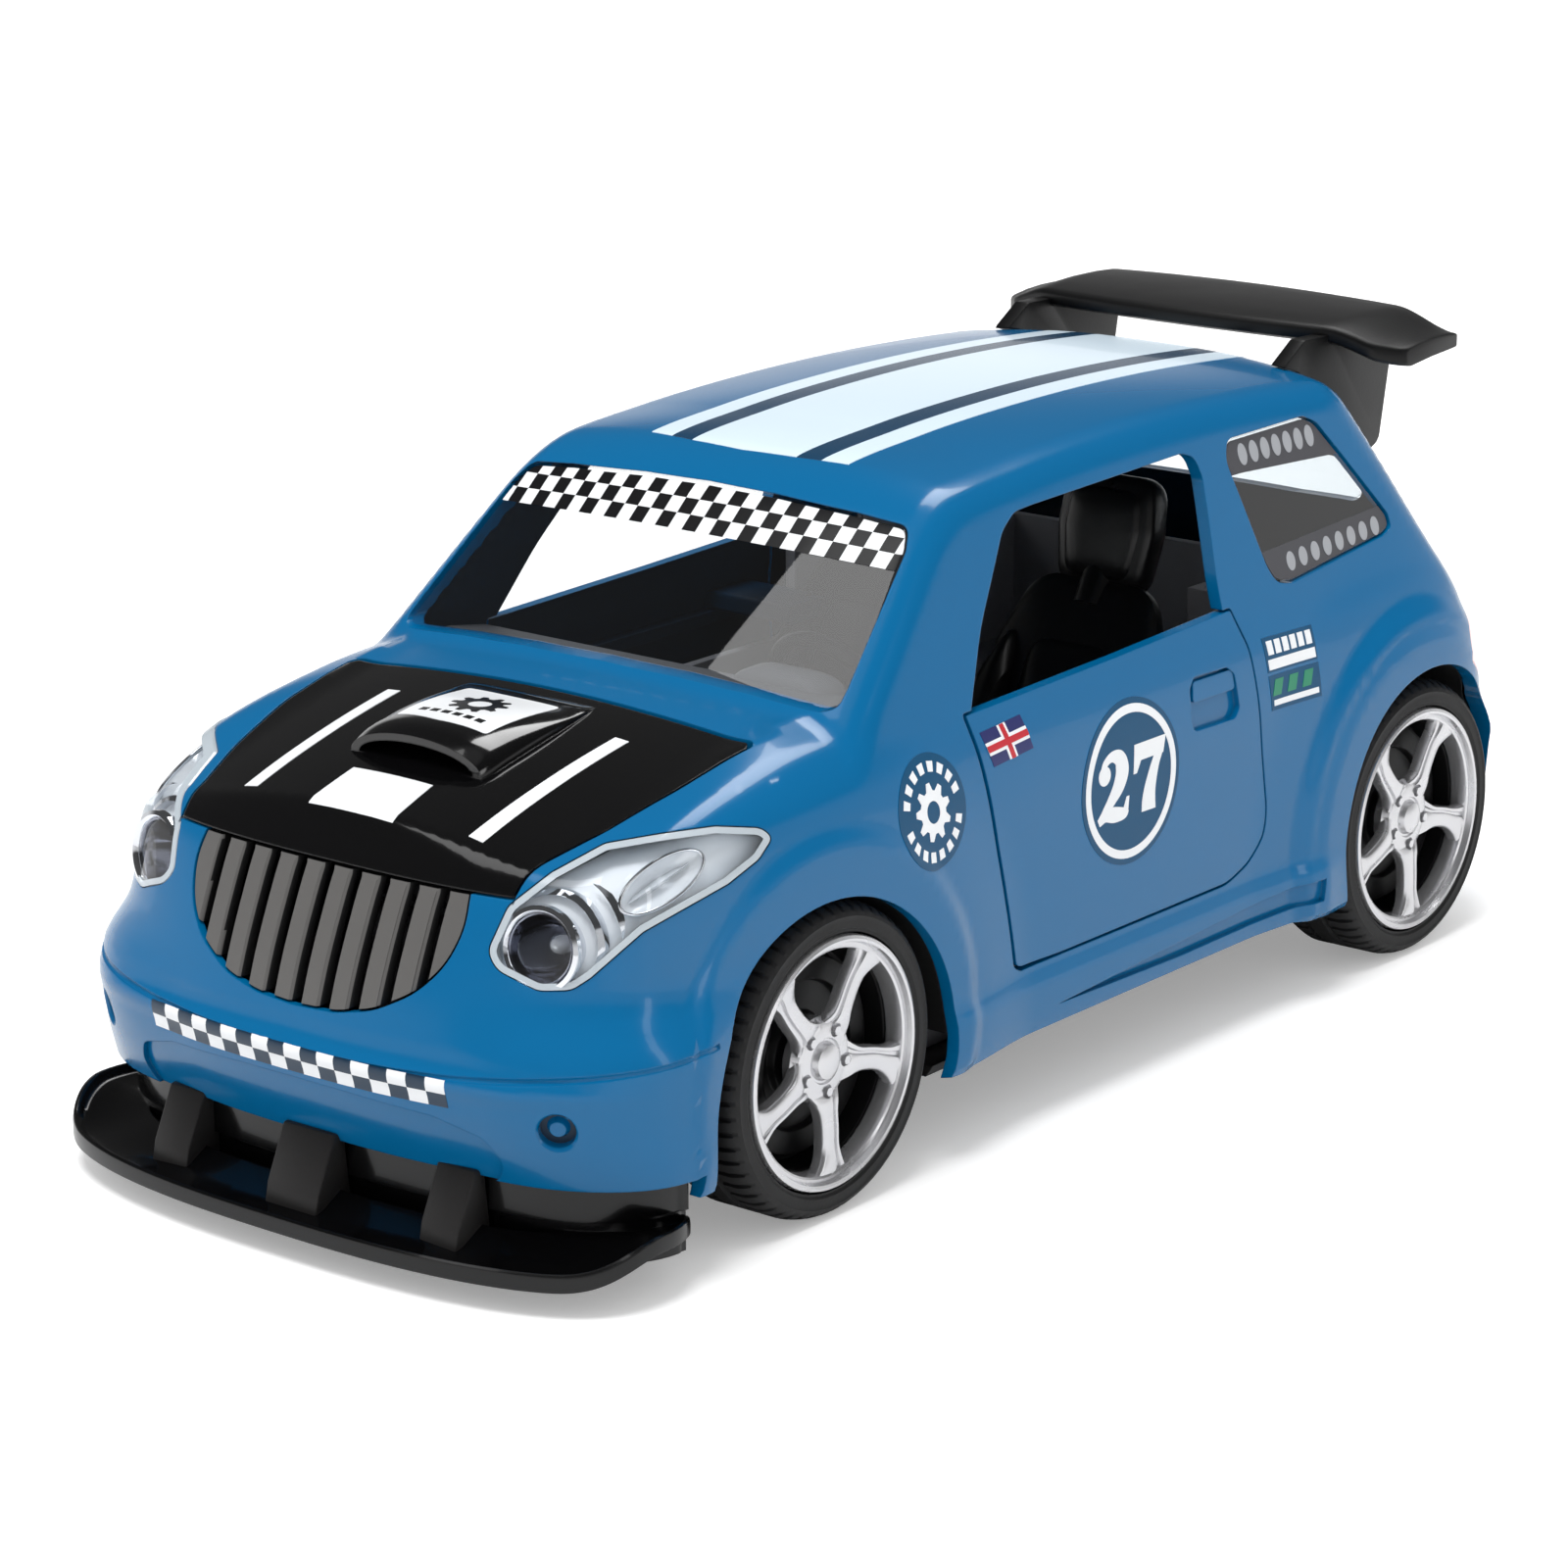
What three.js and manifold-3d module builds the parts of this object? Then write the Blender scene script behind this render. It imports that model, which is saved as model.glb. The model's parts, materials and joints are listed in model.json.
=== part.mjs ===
// Pull back car: a 1:20 three-door hatchback with opening doors, an opening bonnet and a spring
// motor on the rear axle.
// Millimetres. +X is the car's left, +Y runs from nose to tail, Z is up, the ground is z = 0.
// Stations (Y) are written from the front axle; the finished pieces are shifted by Y_SHIFT.
import * as THREE from "three";
import { mergeVertices } from "three/addons/utils/BufferGeometryUtils.js";
import Module from "manifold-3d";

const wasm = await Module();
wasm.setup();

// ---- driving dimensions ----------------------------------------------------------------------
const Y_SHIFT = -50.5; // puts the middle of the car's length on the origin
const WHEELBASE = 125;
const TYRE_R = 18.6;
const RIM_R = 15.0;
const WHEEL_OUT = 42.1; // outer face of the wheels, from the middle plane
const WHEEL_IN = 29.3; // inner face of the tyres
const SKIN = 1.7; // thickness of the body shell
const GAP = 0.35; // gap round doors, bonnet and headlights
const GLASS_GAP = 0.3; // gap round windows, grille and tail lights
const FRONT_ARCH = { centre: [-0.3, 15.5], radius: 22.4 }; // centre is (y, z)
const REAR_ARCH = { centre: [126.3, 18.5], radius: 20.7 };

const AXLE_R = 1.5;
const AXLE_PRESS_R = AXLE_R + 0.03; // bore that grips an axle
const AXLE_FREE_R = AXLE_R + 0.06; // bore that an axle turns in
const FRONT_AXLE = [0, TYRE_R]; // (y, z)
const REAR_AXLE = [WHEELBASE, TYRE_R];

const PIN_R = 0.6; // hinge pins
const PIN_FREE_R = 0.66; // bore in the moving part
const PIN_FIXED_R = 0.62; // bore in the fixed part
const BONNET_HINGE = [-9.0, 51.8]; // (y, z); the bonnet opens 55 degrees
// The door hinge runs parallel to the door's front edge; each door opens 50 degrees.
const DOOR_HINGE = [38.3, 40.05, 20];
const DOOR_UP = [0, -0.2195, 0.9756];
const DOOR_ACROSS = [0, DOOR_UP[2], -DOOR_UP[1]];
const STEERING_BOSS = [14.5, 29.9, 48.6]; // on the dashboard
const STEERING_AXIS = [0, 0.906, 0.423]; // leans back towards the driver

const FRONT_SCREW = { x: 13, y: -36.5 };
const REAR_SCREW = { x: 16, y: 141.5 };

const PLASTIC = { roughness: 0.4, metalness: 0 };
const SHINY = { roughness: 0.15, metalness: 1 };
const GLASSY = { roughness: 0.05, metalness: 0, transparent: true, opacity: 0.35 };
const MATERIALS = {
  blue: { color: 0x266aa0, ...PLASTIC },
  black: { color: 0x141416, ...PLASTIC },
  grey: { color: 0x55575c, ...PLASTIC },
  darkGrey: { color: 0x303236, ...PLASTIC },
  white: { color: 0xe8e8e4, ...PLASTIC },
  rubber: { color: 0x17171a, roughness: 0.8, metalness: 0 },
  steel: { color: 0x9a9da2, ...SHINY },
  chrome: { color: 0xd8dade, ...SHINY },
  clear: { color: 0xcfe0ea, ...GLASSY },
  red: { color: 0x9c2a2a, ...GLASSY },
};

// ---- curves and smooth joins -----------------------------------------------------------------
// Smooth curve through the points (xs, ys), held level beyond both ends.
function table(xs, ys) {
  const last = xs.length - 1;
  const steps = [];
  const slopes = [];
  for (let i = 0; i < last; i++) {
    steps.push(xs[i + 1] - xs[i]);
    slopes.push((ys[i + 1] - ys[i]) / steps[i]);
  }
  const tangents = xs.map((_, i) => {
    if (i === 0) return slopes[0];
    if (i === last) return slopes[last - 1];
    return (slopes[i - 1] * steps[i] + slopes[i] * steps[i - 1]) / (steps[i - 1] + steps[i]);
  });
  return (at) => {
    const x = Math.min(Math.max(at, xs[0]), xs[last]);
    let i = 0;
    while (i < last - 1 && x >= xs[i + 1]) i++;
    const t = (x - xs[i]) / steps[i];
    const t2 = t * t;
    const t3 = t2 * t;
    return (2 * t3 - 3 * t2 + 1) * ys[i] + (t3 - 2 * t2 + t) * steps[i] * tangents[i]
      + (-2 * t3 + 3 * t2) * ys[i + 1] + (t3 - t2) * steps[i] * tangents[i + 1];
  };
}
// Goes smoothly from 0 at x = from to 1 at x = to; from may be the larger.
function ease(from, to, x) {
  const t = Math.min(Math.max((x - from) / (to - from), 0), 1);
  return t * t * (3 - 2 * t);
}
// Maximum and minimum, rounded where the two values are within blend of each other.
function smoothMax(a, b, blend) {
  const h = Math.max(blend - Math.abs(a - b), 0) / blend;
  return Math.max(a, b) + h * h * blend * 0.25;
}
const smoothMin = (a, b, blend) => -smoothMax(-a, -b, blend);
const superNorm = (power, u, v) => Math.pow(Math.pow(u, power) + Math.pow(v, power), 1 / power);
const degrees = (angle) => (angle * Math.PI) / 180;
// Halves the range 0..far to find the distance at which isInside turns false.
function edgeDistance(far, halvings, isInside) {
  let low = 0;
  let high = far;
  for (let i = 0; i < halvings; i++) {
    const t = (low + high) / 2;
    if (isInside(t)) low = t;
    else high = t;
  }
  return low;
}

// ---- body surface ----------------------------------------------------------------------------
const SIDE = table( // half width by height
  [5, 9, 11, 20, 35, 44, 48, 53, 60, 70, 76, 84],
  [38.6, 39.6, 40.2, 40.6, 40.5, 40.2, 39.6, 38.1, 36.1, 33.2, 31.3, 28.6],
);
const NOSE = table( // foremost station by height
  [4, 9, 13, 18, 22, 24.6, 25.6, 28, 33, 38, 43, 48, 56],
  [-38.7, -40.6, -42.2, -44.4, -45.6, -46.0, -45.3, -44.5, -42.8, -40.7, -38.3, -35.2, -30.0],
);
const TAIL = table( // rearmost station by height
  [4, 10, 18, 25, 30, 36, 43, 50, 60],
  [146.5, 148.5, 150, 150, 149.8, 149.1, 148.2, 146.3, 141.5],
);
const BONNET = table( // bonnet height by station
  [-46, -40, -36, -30, -20, -10, 0, 10, 20],
  [43.8, 46.9, 48.5, 50.4, 52.9, 54.8, 56.2, 57.2, 58.0],
);
const CROWN = table( // drop of the bonnet at x = 30, by station
  [-46, -36, -20, 0, 10, 20],
  [6.0, 4.6, 3.0, 1.75, 1.5, 1.5],
);
const ROOF = table( // roof height by station
  [20, 28, 34, 50, 73, 100, 121, 135],
  [75.0, 77.3, 78.6, 80.1, 80.9, 80.4, 79.0, 77.5],
);
const SILL = table( // height of the lower edge by station
  [-60, -20, 20, 105, 140, 160],
  [9.2, 9.4, 10.6, 10.8, 10.2, 9.8],
);
const NOSE_START = -26; // the plan rounds off ahead of this station
const TAIL_START = 116; // and behind this one
const NOSE_POWER = 2.55; // exponents of the rounded plan
const TAIL_POWER = 5.5;
const OPEN_FLOOR = 2; // floor height of the solids used to hollow the body, below its lower edge

function halfWidth(y, z) {
  const taper = 0.00006 + 0.00019 * ease(26, 35, z) * ease(40, -20, y);
  const fromFront = Math.hypot(y, z - TYRE_R);
  const fromRear = Math.hypot(y - WHEELBASE, z - TYRE_R);
  const frontFlare = 1.2 * ease(40, 25, fromFront) + 0.7 * ease(26.6, 25.2, fromFront);
  const rearFlare = 1.3 * ease(30.5, 26.5, fromRear) + 0.5 * ease(25.4, 24.4, fromRear)
    + 0.6 * ease(40, 27, fromRear);
  const sillStep = 0.7 * ease(19.5, 17.5, z) * ease(18, 26, y) * (1 - ease(100, 106, y));
  return SIDE(z) - taper * (y - 62) ** 2 + frontFlare + rearFlare + sillStep;
}
// Negative inside the body, close to a distance in mm near the skin.
// Without a floor height the body ends at its sill line.
function body(signedX, y, z, floor) {
  const x = Math.abs(signedX);
  const width = halfWidth(y, z);
  let side = x - width;
  if (y < NOSE_START) {
    const forward = (NOSE_START - y) / (NOSE_START - NOSE(z));
    side = (superNorm(NOSE_POWER, x / width, forward) - 1) * 30;
  } else if (y > TAIL_START) {
    const rearward = (y - TAIL_START) / (TAIL(z) - TAIL_START);
    side = (superNorm(TAIL_POWER, x / width, rearward) - 1) * 39;
  }
  // the lower corners stand out a little at the nose and tail
  side -= 1.5 * ease(33, 26, z) * ease(18, 34, x)
    * (ease(-14, -27, y) + 0.9 * ease(134, 144, y));
  if (z > 52) side *= 0.955;
  const bonnetHeight = BONNET(y) - CROWN(y) * (x / 30) ** 2
    - (0.3 * ease(-22, 4, y) - 0.02) * Math.max(x - 30.6, 0)
    + ease(26, 36, x) * ease(16, -2, y);
  const bonnet = (z - bonnetHeight) * 0.97;
  const screen = 0.658 * (9.1 + (z - 55.2) * 1.144 + 3.5 * ((x / 33) ** 2 - 1) - y);
  const roof = z - (ROOF(y) - 0.4 - 2.2 * Math.pow(x / 31, 2.6));
  const hatchBulge = (ease(40, 78, z) * 2.5 + 3.5) * (1 - Math.pow(x / 33, 2.5));
  const hatch = 0.786 * (y - (119.3 + (76.1 - z) * 0.786 + hatchBulge));
  const top = smoothMax(smoothMax(roof, hatch, 2.5), smoothMin(bonnet, screen, 1.5), 3.0);
  const whole = smoothMax(side, top, 3.4);
  return floor === undefined ? smoothMax(whole, SILL(y) - z, 1.2) : Math.max(whole, floor - z);
}

// ---- solids ----------------------------------------------------------------------------------
const X = [1, 0, 0];
const Y = [0, 1, 0];
const Z = [0, 0, 1];
const vector = (p) => new THREE.Vector3(...p);

function solid(geometry) {
  const loose = geometry.index ? geometry.toNonIndexed() : geometry.clone();
  loose.deleteAttribute("normal");
  loose.deleteAttribute("uv");
  const merged = mergeVertices(loose, 1e-4);
  return new wasm.Manifold(new wasm.Mesh({
    numProp: 3,
    vertProperties: new Float32Array(merged.attributes.position.array),
    triVerts: new Uint32Array(merged.index.array),
  }));
}
function fromTriangles(points, triangles) {
  const geometry = new THREE.BufferGeometry();
  const positions = new Float32Array(points.flat());
  geometry.setAttribute("position", new THREE.BufferAttribute(positions, 3));
  geometry.setIndex(triangles.flat());
  return solid(geometry);
}
// Joins a row of closed rings with equal point counts into a solid with fanned ends.
function loft(rings) {
  const n = rings[0].length;
  const last = (rings.length - 1) * n;
  const triangles = [];
  for (let i = 0; i < last; i += n) {
    for (let j = 0; j < n; j++) {
      const a = i + j;
      const b = i + ((j + 1) % n);
      triangles.push([a, b, a + n], [b, b + n, a + n]);
    }
  }
  for (let j = 1; j < n - 1; j++) {
    triangles.push([0, j + 1, j], [last, last + j, last + j + 1]);
  }
  const points = rings.flat();
  const result = fromTriangles(points, triangles);
  if (result.volume() >= 0) return result;
  return fromTriangles(points, triangles.map(([a, b, c]) => [a, c, b]));
}
function box(x0, x1, y0, y1, z0, z1) {
  const geometry = new THREE.BoxGeometry(x1 - x0, y1 - y0, z1 - z0);
  return solid(geometry.translate((x0 + x1) / 2, (y0 + y1) / 2, (z0 + z1) / 2));
}
// Extrudes an outline given in (u, v) along w, from w0 to w1; u, v and w are unit vectors.
function prism(outline, u, v, w, w0, w1, origin = [0, 0, 0]) {
  const shape = new THREE.Shape(outline.map((p) => new THREE.Vector2(...p)));
  const options = { depth: w1 - w0, bevelEnabled: false, curveSegments: 1 };
  const geometry = new THREE.ExtrudeGeometry(shape, options);
  const along = vector(w);
  const matrix = new THREE.Matrix4()
    .makeBasis(vector(u), vector(v), along)
    .setPosition(vector(origin).addScaledVector(along, w0));
  geometry.applyMatrix4(matrix);
  if (matrix.determinant() < 0) {
    // a left-handed frame turns the triangles inside out, so swap two corners of each
    const coords = geometry.attributes.position.array;
    for (let i = 0; i < coords.length; i += 9) {
      for (let k = i + 3; k < i + 6; k++) {
        [coords[k], coords[k + 3]] = [coords[k + 3], coords[k]];
      }
    }
  }
  return solid(geometry);
}
const prismX = (yz, x0, x1) => prism(yz, Y, Z, X, x0, x1);
const prismY = (xz, y0, y1) => prism(xz, X, Z, Y, y0, y1);
const prismZ = (xy, z0, z1) => prism(xy, X, Y, Z, z0, z1);
function rod(start, end, radius, segments) {
  const axis = vector(end).sub(vector(start));
  const geometry = new THREE.CylinderGeometry(radius, radius, axis.length(), segments);
  geometry.applyQuaternion(
    new THREE.Quaternion().setFromUnitVectors(vector(Y), axis.clone().normalize()),
  );
  return solid(geometry.translate(...start.map((p, i) => (p + end[i]) / 2)));
}
const rodX = (x0, x1, yz, radius, segments) => rod([x0, ...yz], [x1, ...yz], radius, segments);
const rodZ = ({ x, y }, z0, z1, radius, segments) => rod([x, y, z0], [x, y, z1], radius, segments);
const signedArea = (points) => points.reduce((sum, p, i) => {
  const next = points[(i + 1) % points.length];
  return sum + p[0] * next[1] - next[0] * p[1];
}, 0);
// Turns a closed (radius, x) profile about the X axis.
function turned(profile, segments) {
  const ordered = signedArea(profile) > 0 ? profile : [...profile].reverse();
  const points = ordered.map((p) => new THREE.Vector2(...p));
  if (points.some((p) => p.x === 0)) {
    // start and end the profile on the axis
    while (!(points[0].x === 0 && points[points.length - 1].x === 0)) points.push(points.shift());
  } else {
    points.push(points[0].clone());
  }
  const matrix = new THREE.Matrix4().makeBasis(vector(Z), vector(X), vector(Y));
  return solid(new THREE.LatheGeometry(points, segments).applyMatrix4(matrix));
}
const join = (...solids) => solids.reduce((a, b) => a.add(b));
const flip = (s) => s.mirror([1, 0, 0]);
const both = (s) => s.add(flip(s));
const lineAt = (origin, axis) => (t) => origin.map((p, i) => p + axis[i] * t);
const doorAt = lineAt(DOOR_HINGE, DOOR_UP);
const steeringAt = lineAt(STEERING_BOSS, STEERING_AXIS);

// ---- skins: the body surface, or one parallel to it, cast outwards from the car's spine --------
const SPINE = { z: 30, front: -12, rear: 118 };
// phi: angles round the spine; caps: angles round its ends; stations: places along it
const FINE_GRID = {
  phi: [-90, -60, -42, -31, -24.5, -13, 0, 12, 20, 26, 32, 40, 48, 54.5, 60, 69, 80, 90],
  caps: [17, 33, 46, 57, 67, 76, 84],
  stations: [-12, -4, 4, 10, 20, 30, 37, 54, 74, 92, 102, 110, 118],
};
const ROUGH_GRID = {
  phi: [-90, -55, -38, -22, 0, 20, 31, 46, 55, 62, 76, 90],
  caps: [22, 42, 60, 77],
  stations: [-12, 0, 10, 30, 38, 62, 90, 106, 118],
};
function skinSolid(level, floor, { phi, caps, stations }) {
  const cast = (y, dx, dy, dz) => {
    const at = (t) => [dx * t, y + dy * t, SPINE.z + dz * t];
    return at(edgeDistance(85, 34, (t) => body(...at(t), floor) < level));
  };
  const ring = (y, forward, out) => {
    const half = phi.map(degrees).map((a) => cast(y, out * Math.cos(a), forward, out * Math.sin(a)));
    half[0][0] = 0;
    half[half.length - 1][0] = 0;
    return [...half, ...half.slice(1, -1).reverse().map(([x, ...yz]) => [-x, ...yz])];
  };
  const ends = caps.map(degrees);
  const rings = [
    ...ends.map((a) => ring(SPINE.front, -Math.cos(a), Math.sin(a))),
    ...stations.map((y) => ring(y, 0, 1)),
    ...ends.reverse().map((a) => ring(SPINE.rear, Math.cos(a), Math.sin(a))),
  ];
  const points = rings.flat();
  const n = rings[0].length;
  const last = (rings.length - 1) * n;
  const noseTip = points.length;
  const tailTip = noseTip + 1;
  points.push(cast(SPINE.front, 0, -1, 0), cast(SPINE.rear, 0, 1, 0));
  const triangles = [];
  for (let i = 0; i < last; i += n) {
    for (let j = 0; j < n; j++) {
      const p = i + j;
      const q = i + ((j + 1) % n);
      const r = p + n;
      const s = q + n;
      // mirrored diagonals keep the two halves alike
      if (j < n / 2) triangles.push([p, r, q], [q, r, s]);
      else triangles.push([p, r, s], [p, s, q]);
    }
  }
  for (let j = 0; j < n; j++) {
    const next = (j + 1) % n;
    triangles.push([noseTip, j, next], [tailTip, last + next, last + j]);
  }
  return fromTriangles(points, triangles);
}
const outer = skinSolid(0, undefined, FINE_GRID);
// Everything deeper than depth below the skin, and open below.
const under = (depth) => skinSolid(-depth, OPEN_FLOOR, ROUGH_GRID);
const layer = (outerDepth, innerDepth) => under(outerDepth).subtract(under(innerDepth));
const inside = under(SKIN + 0.4); // room inside the shell
const deep = under(0.9); // bottom of the shallow recesses
const wall = under(0.6); // inner parts grown into the skin stop here

// ---- outlines --------------------------------------------------------------------------------
// Moves every side of a closed outline outwards by distance (inwards when negative).
function grow(outline, distance) {
  const n = outline.length;
  const sign = signedArea(outline) > 0 ? 1 : -1;
  const normal = (from, to) => {
    const dx = to[0] - from[0];
    const dy = to[1] - from[1];
    const length = Math.hypot(dx, dy);
    return [(dy / length) * sign, (-dx / length) * sign];
  };
  return outline.map((p, i) => {
    const before = normal(outline[(i + n - 1) % n], p);
    const after = normal(p, outline[(i + 1) % n]);
    const k = distance / Math.max(1 + before[0] * after[0] + before[1] * after[1], 0.35);
    return [p[0] + (before[0] + after[0]) * k, p[1] + (before[1] + after[1]) * k];
  });
}
// Closes a half outline with its mirror image across x = 0.
function mirrored(half) {
  const others = half.filter((p) => Math.abs(p[0]) > 1e-6).reverse();
  return [...half, ...others.map(([x, v]) => [-x, v])];
}
// Seen from the side, (y, z).
const DOOR = [
  [28.6, 52.9], [35.6, 20.6], [37.2, 19.8], [45, 19.8], [81.5, 19.8], [86.2, 21.4],
  [89.4, 24.2], [90.1, 27.5], [88.6, 40], [87.2, 49.5], [85.2, 54.6], [60, 53.7],
];
const DOOR_TRIM = [[0.3, 0], [0.3, 0.25], [0, 0.25]]; // extra (y, z) shift of its first points
const DOOR_HANDLE = [
  [73.2, 43.0], [74.2, 41.2], [82.6, 41.0], [83.8, 42.2],
  [83.2, 46.8], [81.8, 47.8], [74.4, 48.0], [73.2, 46.6],
];
const DOOR_WINDOW = [
  [30.1, 52.4], [35.4, 61.5], [43.4, 71.3], [46.5, 73.0], [50, 73.2],
  [82, 74.0], [84.6, 73.2], [85.3, 70.5], [83.6, 58], [83.4, 53],
];
const REAR_SIDE_WINDOW = [
  [91.0, 71.5], [92.2, 74.1], [110, 74.2], [112.6, 73.0], [124.4, 59.4],
  [124.6, 57.6], [122.5, 56.9], [99.5, 54.9], [96.2, 55.6], [94.8, 58],
];
// Seen from the front or the rear, (x, z).
const WINDSCREEN = mirrored([
  [0, 57.6], [12, 57.4], [22, 56.9], [32, 56.1], [33.6, 56.6], [33.4, 58.4],
  [30.6, 71.5], [29.2, 73.8], [22, 74.5], [10, 75.2], [0, 75.4],
]);
const REAR_WINDOW = mirrored([
  [0, 57.2], [14, 57.2], [25, 57.8], [27.6, 59.5],
  [26.4, 70.2], [24.4, 72.2], [12, 73.0], [0, 73.2],
]);
const GRILLE = mirrored([
  [0, 28.6], [6, 28.9], [11.3, 30.0], [16.4, 32.6], [19.6, 36.0], [20.9, 40.3], [20.2, 43.2],
]);
const LOWER_INTAKE = mirrored([
  [0, 12.2], [22, 12.0], [26.5, 12.6], [28, 15.2], [26.4, 18.2], [20, 19.9], [8, 20.5], [0, 20.6],
]);
// Seen from above, (x, y).
const BONNET_EDGE = mirrored([
  [0, -0.6], [15, -0.6], [30.4, -0.4], [31.2, -1.6], [30.6, -13.3],
  [28.6, -23.9], [26.2, -31.5], [24.0, -48], [0, -48],
]);
// The headlight outline lies in a plane square to LAMP_AXIS.
const LAMP_AXIS = [-0.618, 0.729, -0.2955];
const LAMP_U = vector([0.729, 0.618, 0]).normalize().toArray();
const LAMP_V = vector(LAMP_U).cross(vector(LAMP_AXIS)).normalize().toArray();
const LAMP = [ // points (x, y, z) on the skin
  [24.0, -38.6, 38.2], [25.6, -38.8, 36.4], [30.5, -37.6, 34.7], [33.6, -35.6, 34.9],
  [35.0, -34.0, 36.2], [37.0, -27.5, 40.2], [39.7, -16.3, 43.4], [40.2, -11.5, 45.2],
  [39.6, -8.3, 46.9], [39.0, -9.6, 48.3], [37.3, -15.7, 49.6], [33.8, -21.0, 49.3],
  [29.9, -25.6, 48.6], [27.3, -31.5, 46.2], [24.9, -36.0, 43.0],
].map(vector).map((p) => [p.dot(vector(LAMP_U)), p.dot(vector(LAMP_V))]);
const LAMP_BOWL = [30.0, -34.6, 39.8]; // middle of the round bowl
// The tail light is a rounded oval facing the rear corner.
const TAIL_AXIS = [-0.7071, -0.7071, 0];
const TAIL_U = [-0.7071, 0.7071, 0];
const TAIL_CENTRE = [39.5, 146, 38.8];
const TAIL_LAMP = Array.from({ length: 16 }, (_, i) => {
  const angle = (i / 16) * 2 * Math.PI;
  const bulge = (c) => Math.sign(c) * Math.abs(c) ** (2 / 2.6);
  return [7.2 * bulge(Math.cos(angle)), 6.2 * bulge(Math.sin(angle))];
});

const lampCut = (d) => prism(grow(LAMP, d), LAMP_U, LAMP_V, LAMP_AXIS, -70, 0);
const tailCut = (d) => prism(grow(TAIL_LAMP, d), TAIL_U, Z, TAIL_AXIS, -14, 14, TAIL_CENTRE);
const windscreenCut = (d) => prismY(grow(WINDSCREEN, d), -6, 45);
const rearWindowCut = (d) => prismY(grow(REAR_WINDOW, d), 110, 170);
const rearSideCut = (d) => prismX(grow(REAR_SIDE_WINDOW, d), 24, 60);
const bonnetCut = (d, z0) => prismZ(grow(BONNET_EDGE, d), z0, 70);

// ---- body shell ------------------------------------------------------------------------------
function bodyShell() {
  const arches = [FRONT_ARCH, REAR_ARCH].map((a) => rodX(24, 60, a.centre, a.radius, 28));
  const sideOpenings = join(
    ...arches, prismX(DOOR, 24, 60), prismX(DOOR_WINDOW, 24, 60), rearSideCut(0),
    lampCut(0), tailCut(0),
  );
  // shallow recesses: the lower intake and a round one on each side of it
  const recesses = join(
    prismY(LOWER_INTAKE, -60, -30),
    both(rod([30, -60, 19.3], [36.2, -36, 19.3], 2.8, 12)),
  ).subtract(deep);
  // screw bosses and their ribs, grown into the skin
  const bosses = both(join(
    rodZ(FRONT_SCREW, 11.6, 25, 2.9, 8), box(12, 14, -46, FRONT_SCREW.y, 12.4, 24.5),
    rodZ(REAR_SCREW, 11.6, 30, 2.9, 8), box(15, 17, REAR_SCREW.y, 152, 12.4, 29.5),
  )).intersect(wall);
  const pilots = both(join(
    rodZ(FRONT_SCREW, 8, 22, 1.15, 8), rodZ(REAR_SCREW, 8, 25, 1.15, 8),
  ));
  return outer.subtract(under(SKIN))
    .subtract(both(sideOpenings))
    .subtract(windscreenCut(0))
    .subtract(rearWindowCut(0))
    .subtract(prismY(GRILLE, -60, -28))
    .subtract(bonnetCut(0, 43.6))
    .subtract(recesses)
    .add(bosses)
    .subtract(pilots)
    .subtract(box(-60, 60, -60, 160, 0, 9.8));
}

// ---- doors and bonnet ------------------------------------------------------------------------
function door() {
  const outline = grow(DOOR, -GAP).map(([y, z], i) => {
    const [dy, dz] = DOOR_TRIM[i] ?? [0, 0];
    return [y + dy, z + dz];
  });
  const panel = outer.subtract(under(1.5)).intersect(prismX(outline, 30, 60));
  const barrels = join(
    rod(doorAt(2.6), doorAt(12.6), 1.35, 12),
    rod(doorAt(16.6), doorAt(26.4), 1.35, 12),
  );
  const ribs = join(
    prismX([[35.4, 24.5], [84.5, 24.5], [84.5, 26.2], [35.6, 26.2]], 36.6, 39.6),
    prismX([[42, 43.4], [84.5, 43.4], [84.5, 45.0], [42, 45.0]], 36.6, 39.6),
  ).intersect(under(0.7));
  const eyePocket = prism(
    [[-3.2, -8], [3.4, -8], [3.4, 1.22], [-3.2, 1.22]],
    DOOR_ACROSS, X, DOOR_UP, 12.9, 16.3, DOOR_HINGE,
  );
  const fingerCup = prismX(DOOR_HANDLE, 24, 60).subtract(under(0.8));
  return join(panel, barrels, ribs)
    .subtract(eyePocket)
    .subtract(rod(doorAt(1.4), doorAt(27.6), PIN_FREE_R, 16))
    .subtract(fingerCup);
}
const doorPin = () => rod(doorAt(2.2), doorAt(26.8), PIN_R, 16);

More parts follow.
